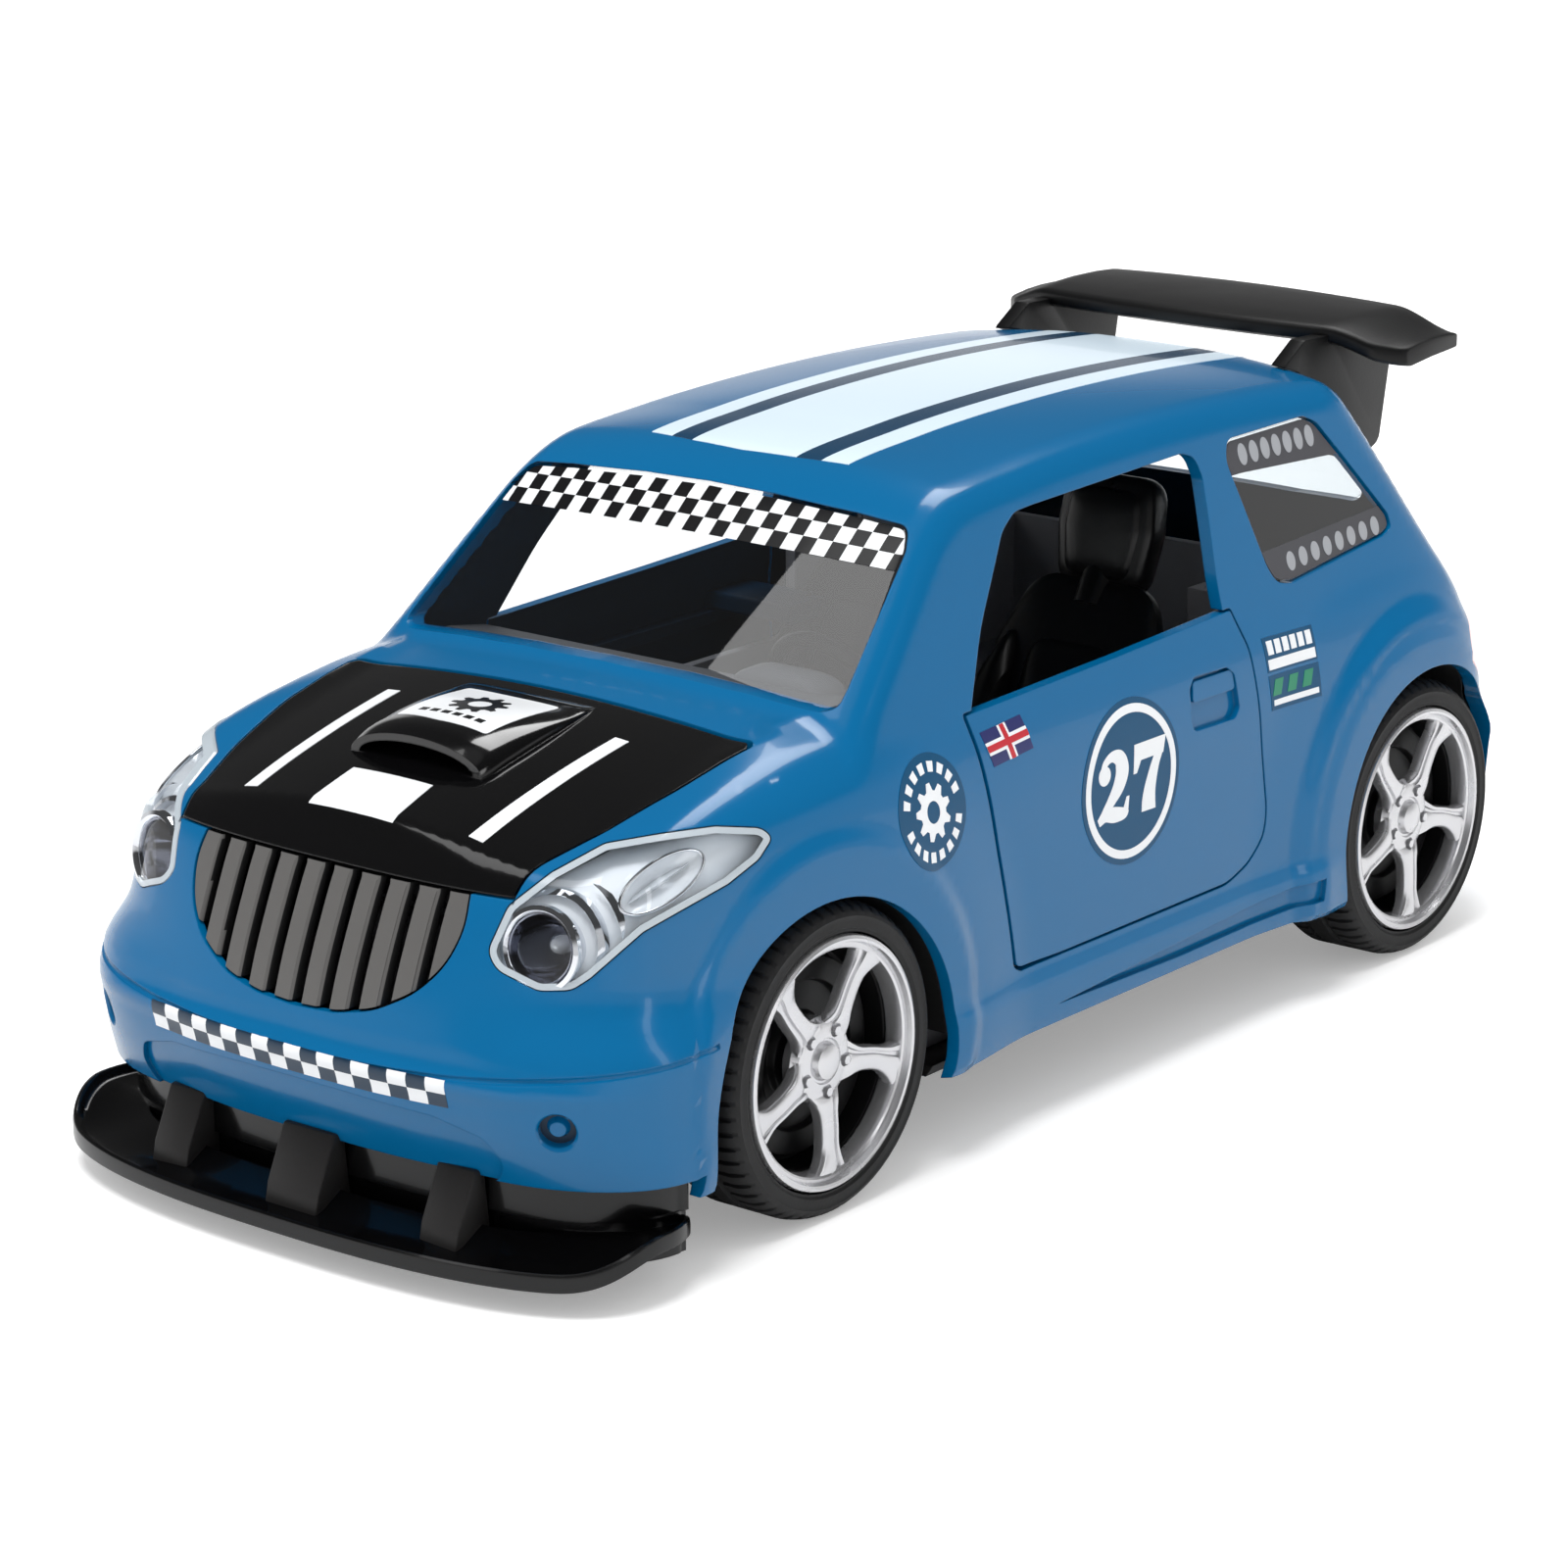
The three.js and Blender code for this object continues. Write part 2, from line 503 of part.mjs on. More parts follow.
// Half-round tunnel lying on the bonnet; each section is (y, half width, height).
function scoopTunnel(sections, base) {
  return loft(sections.map(([y, radius, height]) => {
    const z = BONNET(y) - 0.2;
    const arc = Array.from({ length: 10 }, (_, i) => {
      const t = Math.PI * (i / 9);
      return [radius * Math.cos(t), y, z + height * Math.pow(Math.sin(t), 0.8)];
    });
    return [...arc, [-radius, y, z - base], [radius, y, z - base]];
  }));
}
function bonnet() {
  // the rear edge is set further forward than the other edges
  const outline = grow(BONNET_EDGE, -GAP).map(([x, y]) => (y > -2 ? [x, y - 0.45] : [x, y]));
  // the scoop is open to the front and fades into the panel
  const scoopOuter = scoopTunnel(
    [[-26.5, 8.4, 4.3], [-22, 8.7, 4.6], [-15, 9.6, 3.6], [-8, 10.6, 1.9], [-3.2, 11.2, 0.5]],
    0.6,
  ).subtract(deep);
  const scoopHollow = scoopTunnel([[-30, 6.6, 3.1], [-22, 6.8, 3.3], [-15.5, 6.6, 2.4]], 0)
    .subtract(under(0.1));
  const lugSide = [[-12.6, 54.6], [-5.2, 56.2], [-7.4, 50.7], [-9.0, 50.2], [-10.6, 50.7]];
  const lugs = both(prismX(lugSide, 17.2, 20.2))
    .subtract(outer.subtract(under(0.5)).add(box(-40, 40, -20, 4, 56, 70)))
    .intersect(wall);
  return outer.subtract(under(1.4))
    .intersect(prismZ(outline, 43.9, 70))
    .add(scoopOuter)
    .subtract(scoopHollow)
    .add(lugs)
    .subtract(rodX(-30, 30, BONNET_HINGE, PIN_FREE_R, 16));
}
const bonnetPin = () => rodX(-24.4, 24.4, BONNET_HINGE, PIN_R, 16);

// ---- glazing, grille and lamps ---------------------------------------------------------------
const glass = layer(0.35, 1.5);
const pane = (cut) => glass.intersect(cut);

function grille() {
  // station just behind the grille's front face, where the grooves end
  const grooveEnd = (x, z) => {
    let y = -60;
    while (body(x, y, z) > -1.9) y += 0.05;
    return y;
  };
  const grooves = [-16.8, -12.6, -8.4, -4.2, 0, 4.2, 8.4, 12.6, 16.8].map((x) => {
    const [low, middle, high] = [29, 37, 43.5].map((z) => grooveEnd(x, z));
    const side = [
      [-60, 24], [low + 0.5, 24], [low, 29], [middle, 37], [high, 43.5], [high, 50], [-60, 50],
    ];
    return prismX(side, x - 0.55, x + 0.55);
  });
  return layer(0.6, 3.0)
    .intersect(prismY(grow(GRILLE, -GLASS_GAP), -60, -30))
    .subtract(join(...grooves));
}
const headlightLens = () => pane(lampCut(-GAP)).subtract(bonnetCut(0.15, 43.2));
function headlightReflector() {
  const bowlAt = lineAt(LAMP_BOWL, LAMP_AXIS);
  return layer(2.1, 4.4).intersect(lampCut(-0.9)).subtract(rod(bowlAt(-12), bowlAt(2.6), 3.9, 18));
}
const tailLight = () => layer(0.1, 1.55).intersect(tailCut(-GLASS_GAP));

// ---- splitter --------------------------------------------------------------------------------
// Outline of the body, depth below the skin, at z = 10, from the nose back to rearY.
function noseOutline(depth, rearY) {
  const z = 10;
  const isInside = (x, y) => body(x, y, z, OPEN_FLOOR) < -depth;
  const tipY = 50 - edgeDistance(120, 30, (t) => isInside(0, 50 - t));
  const half = [];
  for (let i = 0; i <= 7; i++) {
    const y = tipY + (rearY - tipY) * (0.5 - 0.5 * Math.cos((Math.PI * i) / 7));
    const x = edgeDistance(60, 30, (t) => isInside(t, y));
    half.push([x < 0.05 ? 0 : x, y]);
  }
  return mirrored(half);
}
// Outer edge (x, y) for t from -1 at the right rear end to 1 at the left rear end.
function splitterEdge(t) {
  const sign = Math.sign(t);
  const u = Math.abs(t);
  const bend = 0.86; // where the rounded front gives way to the ends
  if (u >= bend) {
    const v = (u - bend) / (1 - bend);
    return [sign * (44 - 4.2 * v ** 2), -32 + v * 9.5];
  }
  const angle = degrees((u / bend) * 90);
  const power = 2 / NOSE_POWER;
  return [
    sign * 44 * Math.pow(Math.sin(angle), power),
    -32 - 17 * Math.pow(Math.max(Math.cos(angle), 0), power),
  ];
}
function frontSplitter() {
  const sections = 22;
  const blade = loft(Array.from({ length: sections + 1 }, (_, i) => {
    const [x, y] = splitterEdge((i / sections - 0.5) * 2);
    const lift = 3.3 * ease(33, 44, Math.abs(x)) * ease(-44, -33, y);
    const innerX = x * 0.78;
    const innerY = -30 + (y + 30) * (y < -30 ? 0.62 : 1);
    return [
      [x, y, 3.0 + lift], [x, y, 4.7 + lift],
      [innerX, innerY, 4.5 + lift * 0.25], [innerX, innerY, 2.8 + lift * 0.25],
    ];
  }));
  // tray and the rim that meets the bumper
  const tray = prismZ(noseOutline(0.8, -25.6), 3.1, 9.4)
    .subtract(prismZ(noseOutline(2.6, -20), 4.4, 12));
  const fin = (x, width, front) => prismX(
    [[front, 4.2], [front, 5.0], [-39.5, 8.7], [-36, 8.7], [-36, 4.2]],
    x - width / 2, x + width / 2,
  );
  const screwHoles = both(join(
    rodZ(FRONT_SCREW, 0, 12, 1.4, 8),
    rodZ(FRONT_SCREW, 0, 6.6, 2.7, 12), // room for the head
  ));
  return join(
    blade, tray, both(rodZ(FRONT_SCREW, 3.2, 9.3, 3.6, 8)),
    fin(0, 4.4, -46.1), fin(-17, 3.0, -45.5), fin(17, 3.0, -45.5),
  ).subtract(screwHoles);
}

// ---- rear wing -------------------------------------------------------------------------------
function rearWing() {
  const halfSpan = 31.8;
  const sections = 16;
  return loft(Array.from({ length: sections + 1 }, (_, i) => {
    const x = -halfSpan + (2 * halfSpan * i) / sections;
    const u = Math.abs(x) / halfSpan;
    const front = 125.4 + 6.2 * u * u + (u > 0.9 ? (u - 0.9) * 24 : 0);
    const rear = 147.2 - 0.5 * u * u;
    const middle = (front + rear) / 2;
    const z = 82.5 - 2.0 * u * u;
    return [
      [x, front, z - 1.9], [x, front, z], [x, middle, z + 0.7],
      [x, rear, z + 0.5], [x, rear, z - 0.9], [x, middle, z - 1.4],
    ];
  }));
}
function wingUpright(wing) {
  const side = [
    [113.5, 78.6], [121, 82.0], [146.2, 81.2], [142.4, 63.4], [136.5, 61.5], [125, 66], [118, 74],
  ];
  const wingRoom = both(wing); // both ways round, as the facets of the wing aren't symmetric
  return prismX(side, 22.9, 25.1)
    .subtract(skinSolid(0.3, undefined, FINE_GRID))
    .subtract(wingRoom.translate([0, 0, -0.3]))
    .subtract(wingRoom)
    .subtract(box(20, 30, 100, 160, 81.6, 90));
}

// ---- wheels: a left wheel, its axis on X and its outer side towards +X -----------------------
// Profiles are (radius, x).
const TYRE_PROFILE = [
  [15.25, WHEEL_IN + 0.6], [17.2, WHEEL_IN], [TYRE_R, WHEEL_IN + 1.8], [TYRE_R, WHEEL_OUT - 2.8],
  [18.1, WHEEL_OUT - 1.0], [16.9, WHEEL_OUT - 0.2], [15.25, WHEEL_OUT - 0.4],
];
const HUB_PROFILE = [
  [0, WHEEL_IN + 1.8], [0, 34.6], [12.6, 34.6], [12.9, 38.7], [14.95, 38.7],
  [14.95, WHEEL_IN + 1.8], [12.6, WHEEL_IN + 1.8], [12.2, 32.6], [4.4, 32.6],
  [4.2, WHEEL_IN + 1.8],
];
const RIM_PROFILE = [
  [13.1, 38.9], [RIM_R, 38.9], [RIM_R, WHEEL_OUT - 0.5], [14.6, WHEEL_OUT], [13.6, WHEEL_OUT],
  [12.9, WHEEL_OUT - 1.5],
];
const RIM_CENTRE_PROFILE = [
  [0, 34.9], [5.2, 34.9], [5.2, 38.6], [4.8, 39.9], [2.3, 40.2], [2.1, 41.1], [0, 41.1],
];
const SPOKE = [ // radius, half width, sideways offset
  [4.0, 2.3, 0], [8.6, 1.7, -0.4], [12.0, 2.1, 0.6], [13.9, 3.5, 1.6],
];
const SPOKES = 5;

function rim() {
  const edges = [
    ...SPOKE.map(([radius, half, offset]) => [radius, offset + half]),
    ...[...SPOKE].reverse().map(([radius, half, offset]) => [radius, offset - half]),
  ];
  const spokes = Array.from({ length: SPOKES }, (_, i) => {
    const angle = (i / SPOKES) * 2 * Math.PI + Math.PI / 2;
    const c = Math.cos(angle);
    const s = Math.sin(angle);
    return prismX(edges.map(([r, o]) => [r * c - o * s, r * s + o * c]), 38.9, 41.0);
  });
  return join(turned(RIM_PROFILE, 20), turned(RIM_CENTRE_PROFILE, 10), ...spokes);
}
const tyre = () => turned(TYRE_PROFILE, 24);
const hub = () => turned(HUB_PROFILE, 15).subtract(rodX(20, 33.6, [0, 0], AXLE_PRESS_R, 12));
const axle = (yz) => rodX(-33.3, 33.3, yz, AXLE_R, 12);

// ---- spring motor ----------------------------------------------------------------------------
const TOOTH_MODULE = 0.7;
const PRESSURE = degrees(22.5);
const ADDENDUM = 0.85; // in modules
const DEDENDUM = 1.15; // in modules
const BACKLASH = 0.09; // mm off each tooth's thickness
const TEETH = { pinion: 12, big: 18, small: 12, spring: 20 };
const meshDistance = (a, b) => (TOOTH_MODULE * (a + b)) / 2 + 0.04;
const polar = ([y, z], radius, angle) => [
  y + radius * Math.cos(angle), z + radius * Math.sin(angle),
];
const MID_ANGLE = degrees(160); // from the rear axle to the intermediate shaft
const SPRING_ANGLE = degrees(182); // from there to the spring shaft
const MID_SHAFT = polar(REAR_AXLE, meshDistance(TEETH.pinion, TEETH.big), MID_ANGLE);
const SPRING_SHAFT = polar(MID_SHAFT, meshDistance(TEETH.small, TEETH.spring), SPRING_ANGLE);
const SHAFT_R = 1.0;
const SHAFT_BORE_R = 1.05;

// Involute spur gear; one tooth points at the angle turn in the (y, z) plane.
function gear(teeth, centre, x0, x1, turn) {
  const pitchR = (TOOTH_MODULE * teeth) / 2;
  const baseR = pitchR * Math.cos(PRESSURE);
  const tipR = pitchR + ADDENDUM * TOOTH_MODULE;
  const rootR = pitchR - DEDENDUM * TOOTH_MODULE;
  const flankR = Math.max(baseR, rootR + 0.05, pitchR - 0.1 * TOOTH_MODULE);
  const involute = (r) => {
    const angle = Math.acos(baseR / r);
    return Math.tan(angle) - angle;
  };
  // half the tooth's angle at radius r
  const half = (r) => Math.PI / (2 * teeth) - BACKLASH / 2 / pitchR + involute(pitchR) - involute(r);
  const rootHalf = half(baseR) * (teeth < 14 ? 0.9 : 1);
  const corners = [
    [rootR, -rootHalf], [flankR, -half(flankR)], [tipR, -half(tipR)],
    [tipR, half(tipR)], [flankR, half(flankR)], [rootR, rootHalf],
  ];
  const outline = [];
  for (let i = 0; i < teeth; i++) {
    const middle = (i / teeth) * 2 * Math.PI + turn;
    for (const [r, offset] of corners) outline.push(polar(centre, r, middle + offset));
  }
  return prismX(outline, x0, x1);
}
// On each line of centres a tooth of one gear faces a space of the other.
const axlePinion = () => gear(TEETH.pinion, REAR_AXLE, -2.6, 1.4, MID_ANGLE)
  .subtract(rodX(-4, 4, REAR_AXLE, AXLE_PRESS_R, 12));
const intermediateGear = () => join(
  gear(TEETH.big, MID_SHAFT, -1.8, 0.6, MID_ANGLE + Math.PI + Math.PI / TEETH.big),
  gear(TEETH.small, MID_SHAFT, 0.5, 5.0, SPRING_ANGLE),
  rodX(-2.6, -1.8, MID_SHAFT, 2.2, 10),
).subtract(rodX(-6, 8, MID_SHAFT, SHAFT_BORE_R, 12));
const springGear = () => join(
  gear(TEETH.spring, SPRING_SHAFT, 2.0, 4.4, SPRING_ANGLE + Math.PI + Math.PI / TEETH.spring),
  rodX(-7.2, 2.1, SPRING_SHAFT, 2.0, 12),
).subtract(rodX(-9, 9, SPRING_SHAFT, SHAFT_BORE_R, 12));
const motorShaft = (yz) => rodX(-9.4, 7.4, yz, SHAFT_R, 12);

function mainspring() {
  const turns = 3.1;
  const steps = 34;
  const [startR, endR] = [2.7, 7.1];
  const thickness = 0.4;
  const edge = (extra) => Array.from({ length: steps + 1 }, (_, i) => {
    const k = i / steps;
    return polar(SPRING_SHAFT, startR + (endR - startR) * k + extra, k * turns * 2 * Math.PI);
  });
  return prismX([...edge(thickness), ...edge(0).reverse()], -6.8, -3.0);
}

const CASE_RIGHT = -9.2;
const CASE_LEFT = 7.0;
const CASE_SIDE = [ // (y, z)
  [92.2, 9.6], [131.4, 9.6], [131.4, 25.5], [123, 32.4], [96, 32.8], [92.2, 30.5],
];
// The case is split on a level plane through the rear axle.
function motorCase() {
  const hollow = prismX(grow(CASE_SIDE, -1.3), CASE_RIGHT + 1.4, CASE_LEFT - 1.4);
  const bores = join(
    rodX(-20, 20, REAR_AXLE, AXLE_FREE_R, 12),
    rodX(-20, 20, MID_SHAFT, SHAFT_BORE_R, 12),
    rodX(-20, 20, SPRING_SHAFT, SHAFT_BORE_R, 12),
  );
  const whole = prismX(CASE_SIDE, CASE_RIGHT, CASE_LEFT).subtract(hollow).subtract(bores);
  const tabs = join(
    box(-13.0, CASE_RIGHT + 0.5, 96, 104, 11.4, 13.0),
    box(CASE_LEFT - 0.5, 10.8, 96, 104, 11.4, 13.0),
  );
  return {
    lower: whole.intersect(box(-30, 30, 60, 160, 0, TYRE_R - 0.02)).add(tabs),
    upper: whole.intersect(box(-30, 30, 60, 160, TYRE_R + 0.02, 60)),
  };
}

// ---- chassis ---------------------------------------------------------------------------------
function chassisPlate() {
  const wheelWells = both(join(
    box(25.6, 60, -23.6, 23.2, -5, 70), box(25.6, 60, 104.4, 148.6, -5, 70),
  ));
  const axleBrackets = join(box(19, 22, -4, 4, 11, 23.4), box(14.5, 17.5, 121, 129, 11, 23.4));
  const wellWalls = join(box(23.8, 25.4, -22, 22, 11, 34), box(23.8, 25.4, 106, 146, 11, 34));
  const screwHoles = both(join(
    rodZ(FRONT_SCREW, 5, 14, 1.4, 8), rodZ(REAR_SCREW, 5, 14, 1.4, 8),
  ));
  return inside.intersect(box(-60, 60, -60, 160, 9.6, 11.2))
    .subtract(wheelWells)
    .add(both(join(axleBrackets, wellWalls)))
    .subtract(rodX(-60, 60, FRONT_AXLE, AXLE_FREE_R, 12))
    .subtract(rodX(-60, 60, REAR_AXLE, AXLE_FREE_R, 12))
    .subtract(screwHoles)
    .subtract(prismX(grow(CASE_SIDE, 0.3), CASE_RIGHT - 0.3, CASE_LEFT + 0.3));
}
// Slotted head at the bottom, at z0, and a shank up to top.
function screw(x, y, z0, top) {
  return join(rodZ({ x, y }, z0, z0 + 1.6, 2.4, 12), rodZ({ x, y }, z0 + 1.5, top, 1.05, 8))
    .subtract(box(x - 1.7, x + 1.7, y - 0.35, y + 0.35, z0 - 1, z0 + 0.7));
}

// ---- cabin -----------------------------------------------------------------------------------
function interiorTub() {
  const filled = join(
    box(-34.2, 34.2, 26, 101, 11.5, 40),
    box(-34.2, 34.2, 86, 101, 33.4, 52),
    box(-23, 23, 100, 122, 33.4, 52),
  );
  const hollow = join(
    box(-32.8, 32.8, 24, 84, 13.0, 60),
    box(-32.6, 32.6, 84, 99.4, 35.0, 60),
    box(-21.6, 21.6, 99, 120.6, 35.0, 60),
  );
  // behind y = 86 only the raised rear part stays
  const kept = join(box(-60, 60, 0, 86, 0, 60), box(-60, 60, 85.9, 160, 33.2, 60));
  // eyes for the door pins, on short posts at the sides
  const eyeArm = prism(
    [[-1.1, -5.2], [1.1, -5.2], [1.1, 0], [-1.1, 0]],
    DOOR_ACROSS, X, DOOR_UP, 13.15, 16.05, DOOR_HINGE,
  );
  const eye = rod(doorAt(13.15), doorAt(16.05), 1.12, 16)
    .add(eyeArm)
    .subtract(rod(doorAt(5), doorAt(25), PIN_FIXED_R, 16));
  const eyePost = box(32.0, 34.2, 33.4, 40.4, 12, 39.4);
  return inside.intersect(box(-60, 60, 22, 122, 11.5, 54))
    .intersect(filled)
    .subtract(hollow)
    .intersect(kept)
    .add(box(-32.9, 32.9, 83.8, 86, 12.4, 35.2))
    .add(both(eyePost.add(eye)))
    .subtract(both(rod(doorAt(12), doorAt(17), PIN_FIXED_R, 16)));
}

// Bucket seat facing the nose; side profiles are (y, z).
const CUSHION = [
  [50, 13.4], [70, 13.4], [71.5, 15.5], [70.5, 20.5], [64, 20.6], [53, 22.4], [50.4, 21.5],
];
const BACKREST = [
  [64, 13.4], [71.5, 13.4], [80.0, 33.5], [88.6, 53.4], [87.4, 55.2],
  [83.8, 55.2], [82.4, 53.6], [75.4, 37.5], [68, 20.6],
];
const BACK_BOLSTER = [[65.5, 20], [71.4, 20], [84.0, 50], [79.5, 50], [70.5, 35]];
const CUSHION_BOLSTER = [[51.5, 21], [66, 20], [66, 24.2], [53, 24.8]];
const HEADREST = [ // (x, z) about the seat's middle
  [-6.6, 54.8], [-7.4, 59.2], [-6.6, 66], [-4, 68.4], [4, 68.4], [6.6, 66], [7.4, 59.2], [6.6, 54.8],
];
function seat(x) {
  const bolsters = (side, innerX) => join(
    prismX(side, x - 9.8, x - innerX), prismX(side, x + innerX, x + 9.8),
  );
  return join(
    prismX(CUSHION, x - 9.5, x + 9.5),
    prismX(BACKREST, x - 9.2, x + 9.2),
    prismY(HEADREST.map(([dx, z]) => [x + dx, z]), 86.2, 92.0),
    bolsters(BACK_BOLSTER, 7.0),
    bolsters(CUSHION_BOLSTER, 7.2),
    rod([x - 3, 86.8, 52.5], [x - 3, 88.6, 57], 1, 8), // headrest stay
  );
}

const DASH_SIDE = [ // (y, z)
  [12.5, 42], [12.5, 53.6], [18, 54.4], [27.5, 52.6], [29.2, 49.5],
  [26.6, 46.0], [25.4, 40.5], [25.4, 36.4], [13, 36.4],
];
const HOOD_SIDE = [[22.5, 51], [24, 55.2], [28.5, 54.6], [29.6, 51.5], [27.5, 49]];
function dashboard() {
  return inside.intersect(prismX(DASH_SIDE, -33.0, 33.0))
    .subtract(box(-60, 60, 0, 60, 56, 90))
    .add(prismX(HOOD_SIDE, 8.5, 20.5).intersect(inside))
    .add(rod(steeringAt(-5), steeringAt(1.4), 2.4, 10))
    .subtract(rod(steeringAt(-4.2), steeringAt(2), 1.06, 16));
}
function steeringWheel() {
  const up = [0, -STEERING_AXIS[2], STEERING_AXIS[1]];
  const matrix = new THREE.Matrix4()
    .makeBasis(vector(X), vector(up), vector(X).cross(vector(up)))
    .setPosition(...steeringAt(4.4));
  const spoke = (outline) => prism(outline, X, up, STEERING_AXIS, 3.5, 4.6, STEERING_BOSS);
  return join(
    solid(new THREE.TorusGeometry(8.0, 1.0, 5, 16).applyMatrix4(matrix)),
    rod(steeringAt(1.8), steeringAt(5.0), 2.2, 12), // boss
    rod(steeringAt(-3.6), steeringAt(2.4), 1.0, 16), // stem
    spoke([[-7.8, -0.9], [7.8, -0.9], [7.8, 0.9], [-7.8, 0.9]]),
    spoke([[-0.9, -7.8], [0.9, -7.8], [0.9, 0], [-0.9, 0]]),
  );
}

// ---- engine bay: a tray with a moulded engine, and ears that carry the bonnet pin ------------
function engineBay() {
  const tray = join(
    box(-23.2, 23.2, -30.5, 6, 24.5, 26.2),
    box(-23.2, -21.8, -26, 6, 24.6, 43.6),
    box(21.8, 23.2, -26, 6, 24.6, 43.6),
    box(-23.2, 23.2, 4.6, 6, 24.6, 50),
  ).intersect(inside);
  const engine = join(
    box(-11, 11, -20, -2, 26, 34),
    box(-7, 7, -18.5, -4, 33.9, 38.2),
    box(-10, -7.6, -17, -5, 33.9, 36.6),
    box(7.6, 10, -17, -5, 33.9, 36.6),
    rodX(-9, 9, [-21.6, 31], 2.6, 10),
    rodZ({ x: 15.5, y: -14 }, 26, 35, 4.4, 12),
    box(-5, 5, -27, -18, 26, 28),
  );
  const ears = both(prismX([
    [-11.2, 40], [-11.2, 50.8], [-9.9, 51.45], [-9, 51.45], [-8.3, 50.3], [-6.9, 48.2], [-6.9, 40],
  ], 21.9, 24.0));
  const legs = both(join(box(8, 12, 2.4, 5.9, 11.5, 25), box(8, 12, -27, -23.4, 11.5, 25)));
  return join(tray, engine, ears)
    .subtract(rodX(-60, 60, BONNET_HINGE, PIN_FIXED_R, 16))
    .add(legs);
}

// ---- assembly --------------------------------------------------------------------------------
const car = new THREE.Group();
car.name = "pull_back_car";

function add(name, piece, material) {
  const { numVert, numProp, vertProperties, triVerts } = piece.translate([0, Y_SHIFT, 0]).getMesh();
  const positions = new Float32Array(numVert * 3);
  for (let i = 0; i < numVert; i++) {
    for (let k = 0; k < 3; k++) positions[3 * i + k] = vertProperties[numProp * i + k];
  }
  const geometry = new THREE.BufferGeometry();
  geometry.setAttribute("position", new THREE.BufferAttribute(positions, 3));
  geometry.setIndex(new THREE.BufferAttribute(new Uint32Array(triVerts), 1));
  geometry.computeVertexNormals();
  const options = { ...material, flatShading: true };
  const mesh = new THREE.Mesh(geometry, new THREE.MeshStandardMaterial(options));
  mesh.name = name;
  car.add(mesh);
}
function addPair(name, left, material) {
  add(`${name}_left`, left, material);
  add(`${name}_right`, flip(left), material);
}
const { blue, black, grey, darkGrey, white, rubber, steel, chrome, clear, red } = MATERIALS;

add("body_shell", bodyShell(), blue);
addPair("door", door(), blue);
addPair("door_hinge_pin", doorPin(), steel);
add("bonnet", bonnet(), black);
add("bonnet_hinge_pin", bonnetPin(), steel);
add("windscreen", pane(windscreenCut(-GLASS_GAP)), clear);
add("rear_window", pane(rearWindowCut(-GLASS_GAP)), clear);
addPair("rear_side_window", pane(rearSideCut(-GLASS_GAP)), clear);
add("grille", grille(), grey);
addPair("headlight_lens", headlightLens(), clear);
addPair("headlight_reflector", headlightReflector(), chrome);
addPair("tail_light", tailLight(), red);
add("front_splitter", frontSplitter(), black);
const wing = rearWing();
add("rear_wing", wing, black);
addPair("wing_upright", wingUpright(wing), black);
add("chassis_plate", chassisPlate(), black);
add("interior_tub", interiorTub(), darkGrey);
add("seat_left", seat(16.5), black);
add("seat_right", seat(-16.5), black);
add("dashboard", dashboard(), darkGrey);
add("steering_wheel", steeringWheel(), black);
add("engine_bay", engineBay(), grey);

const wheelParts = [["tyre", tyre(), rubber], ["rim", rim(), chrome], ["hub", hub(), black]];
for (const [end, centre] of [["front", FRONT_AXLE], ["rear", REAR_AXLE]]) {
  add(`${end}_axle`, axle(centre), steel);
  for (const side of ["left", "right"]) {
    for (const [part, leftPiece, material] of wheelParts) {
      const piece = side === "left" ? leftPiece : flip(leftPiece);
      add(`${end}_${side}_${part}`, piece.translate([0, ...centre]), material);
    }
  }
}

add("axle_pinion", axlePinion(), white);
add("intermediate_gear", intermediateGear(), white);
add("spring_gear", springGear(), white);
add("intermediate_shaft", motorShaft(MID_SHAFT), steel);
add("spring_shaft", motorShaft(SPRING_SHAFT), steel);
add("mainspring", mainspring(), steel);
const { lower, upper } = motorCase();
add("motor_case_lower", lower, black);
add("motor_case_upper", upper, black);
for (const [end, { x, y }, z0, top] of [
  ["front", FRONT_SCREW, 4.9, 21],
  ["rear", REAR_SCREW, 7.9, 24],
]) {
  add(`chassis_screw_${end}_left`, screw(x, y, z0, top), steel);
  add(`chassis_screw_${end}_right`, screw(-x, y, z0, top), steel);
}

export default car;
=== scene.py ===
import json
import math

import bpy
import numpy as np
from mathutils import Matrix, Vector

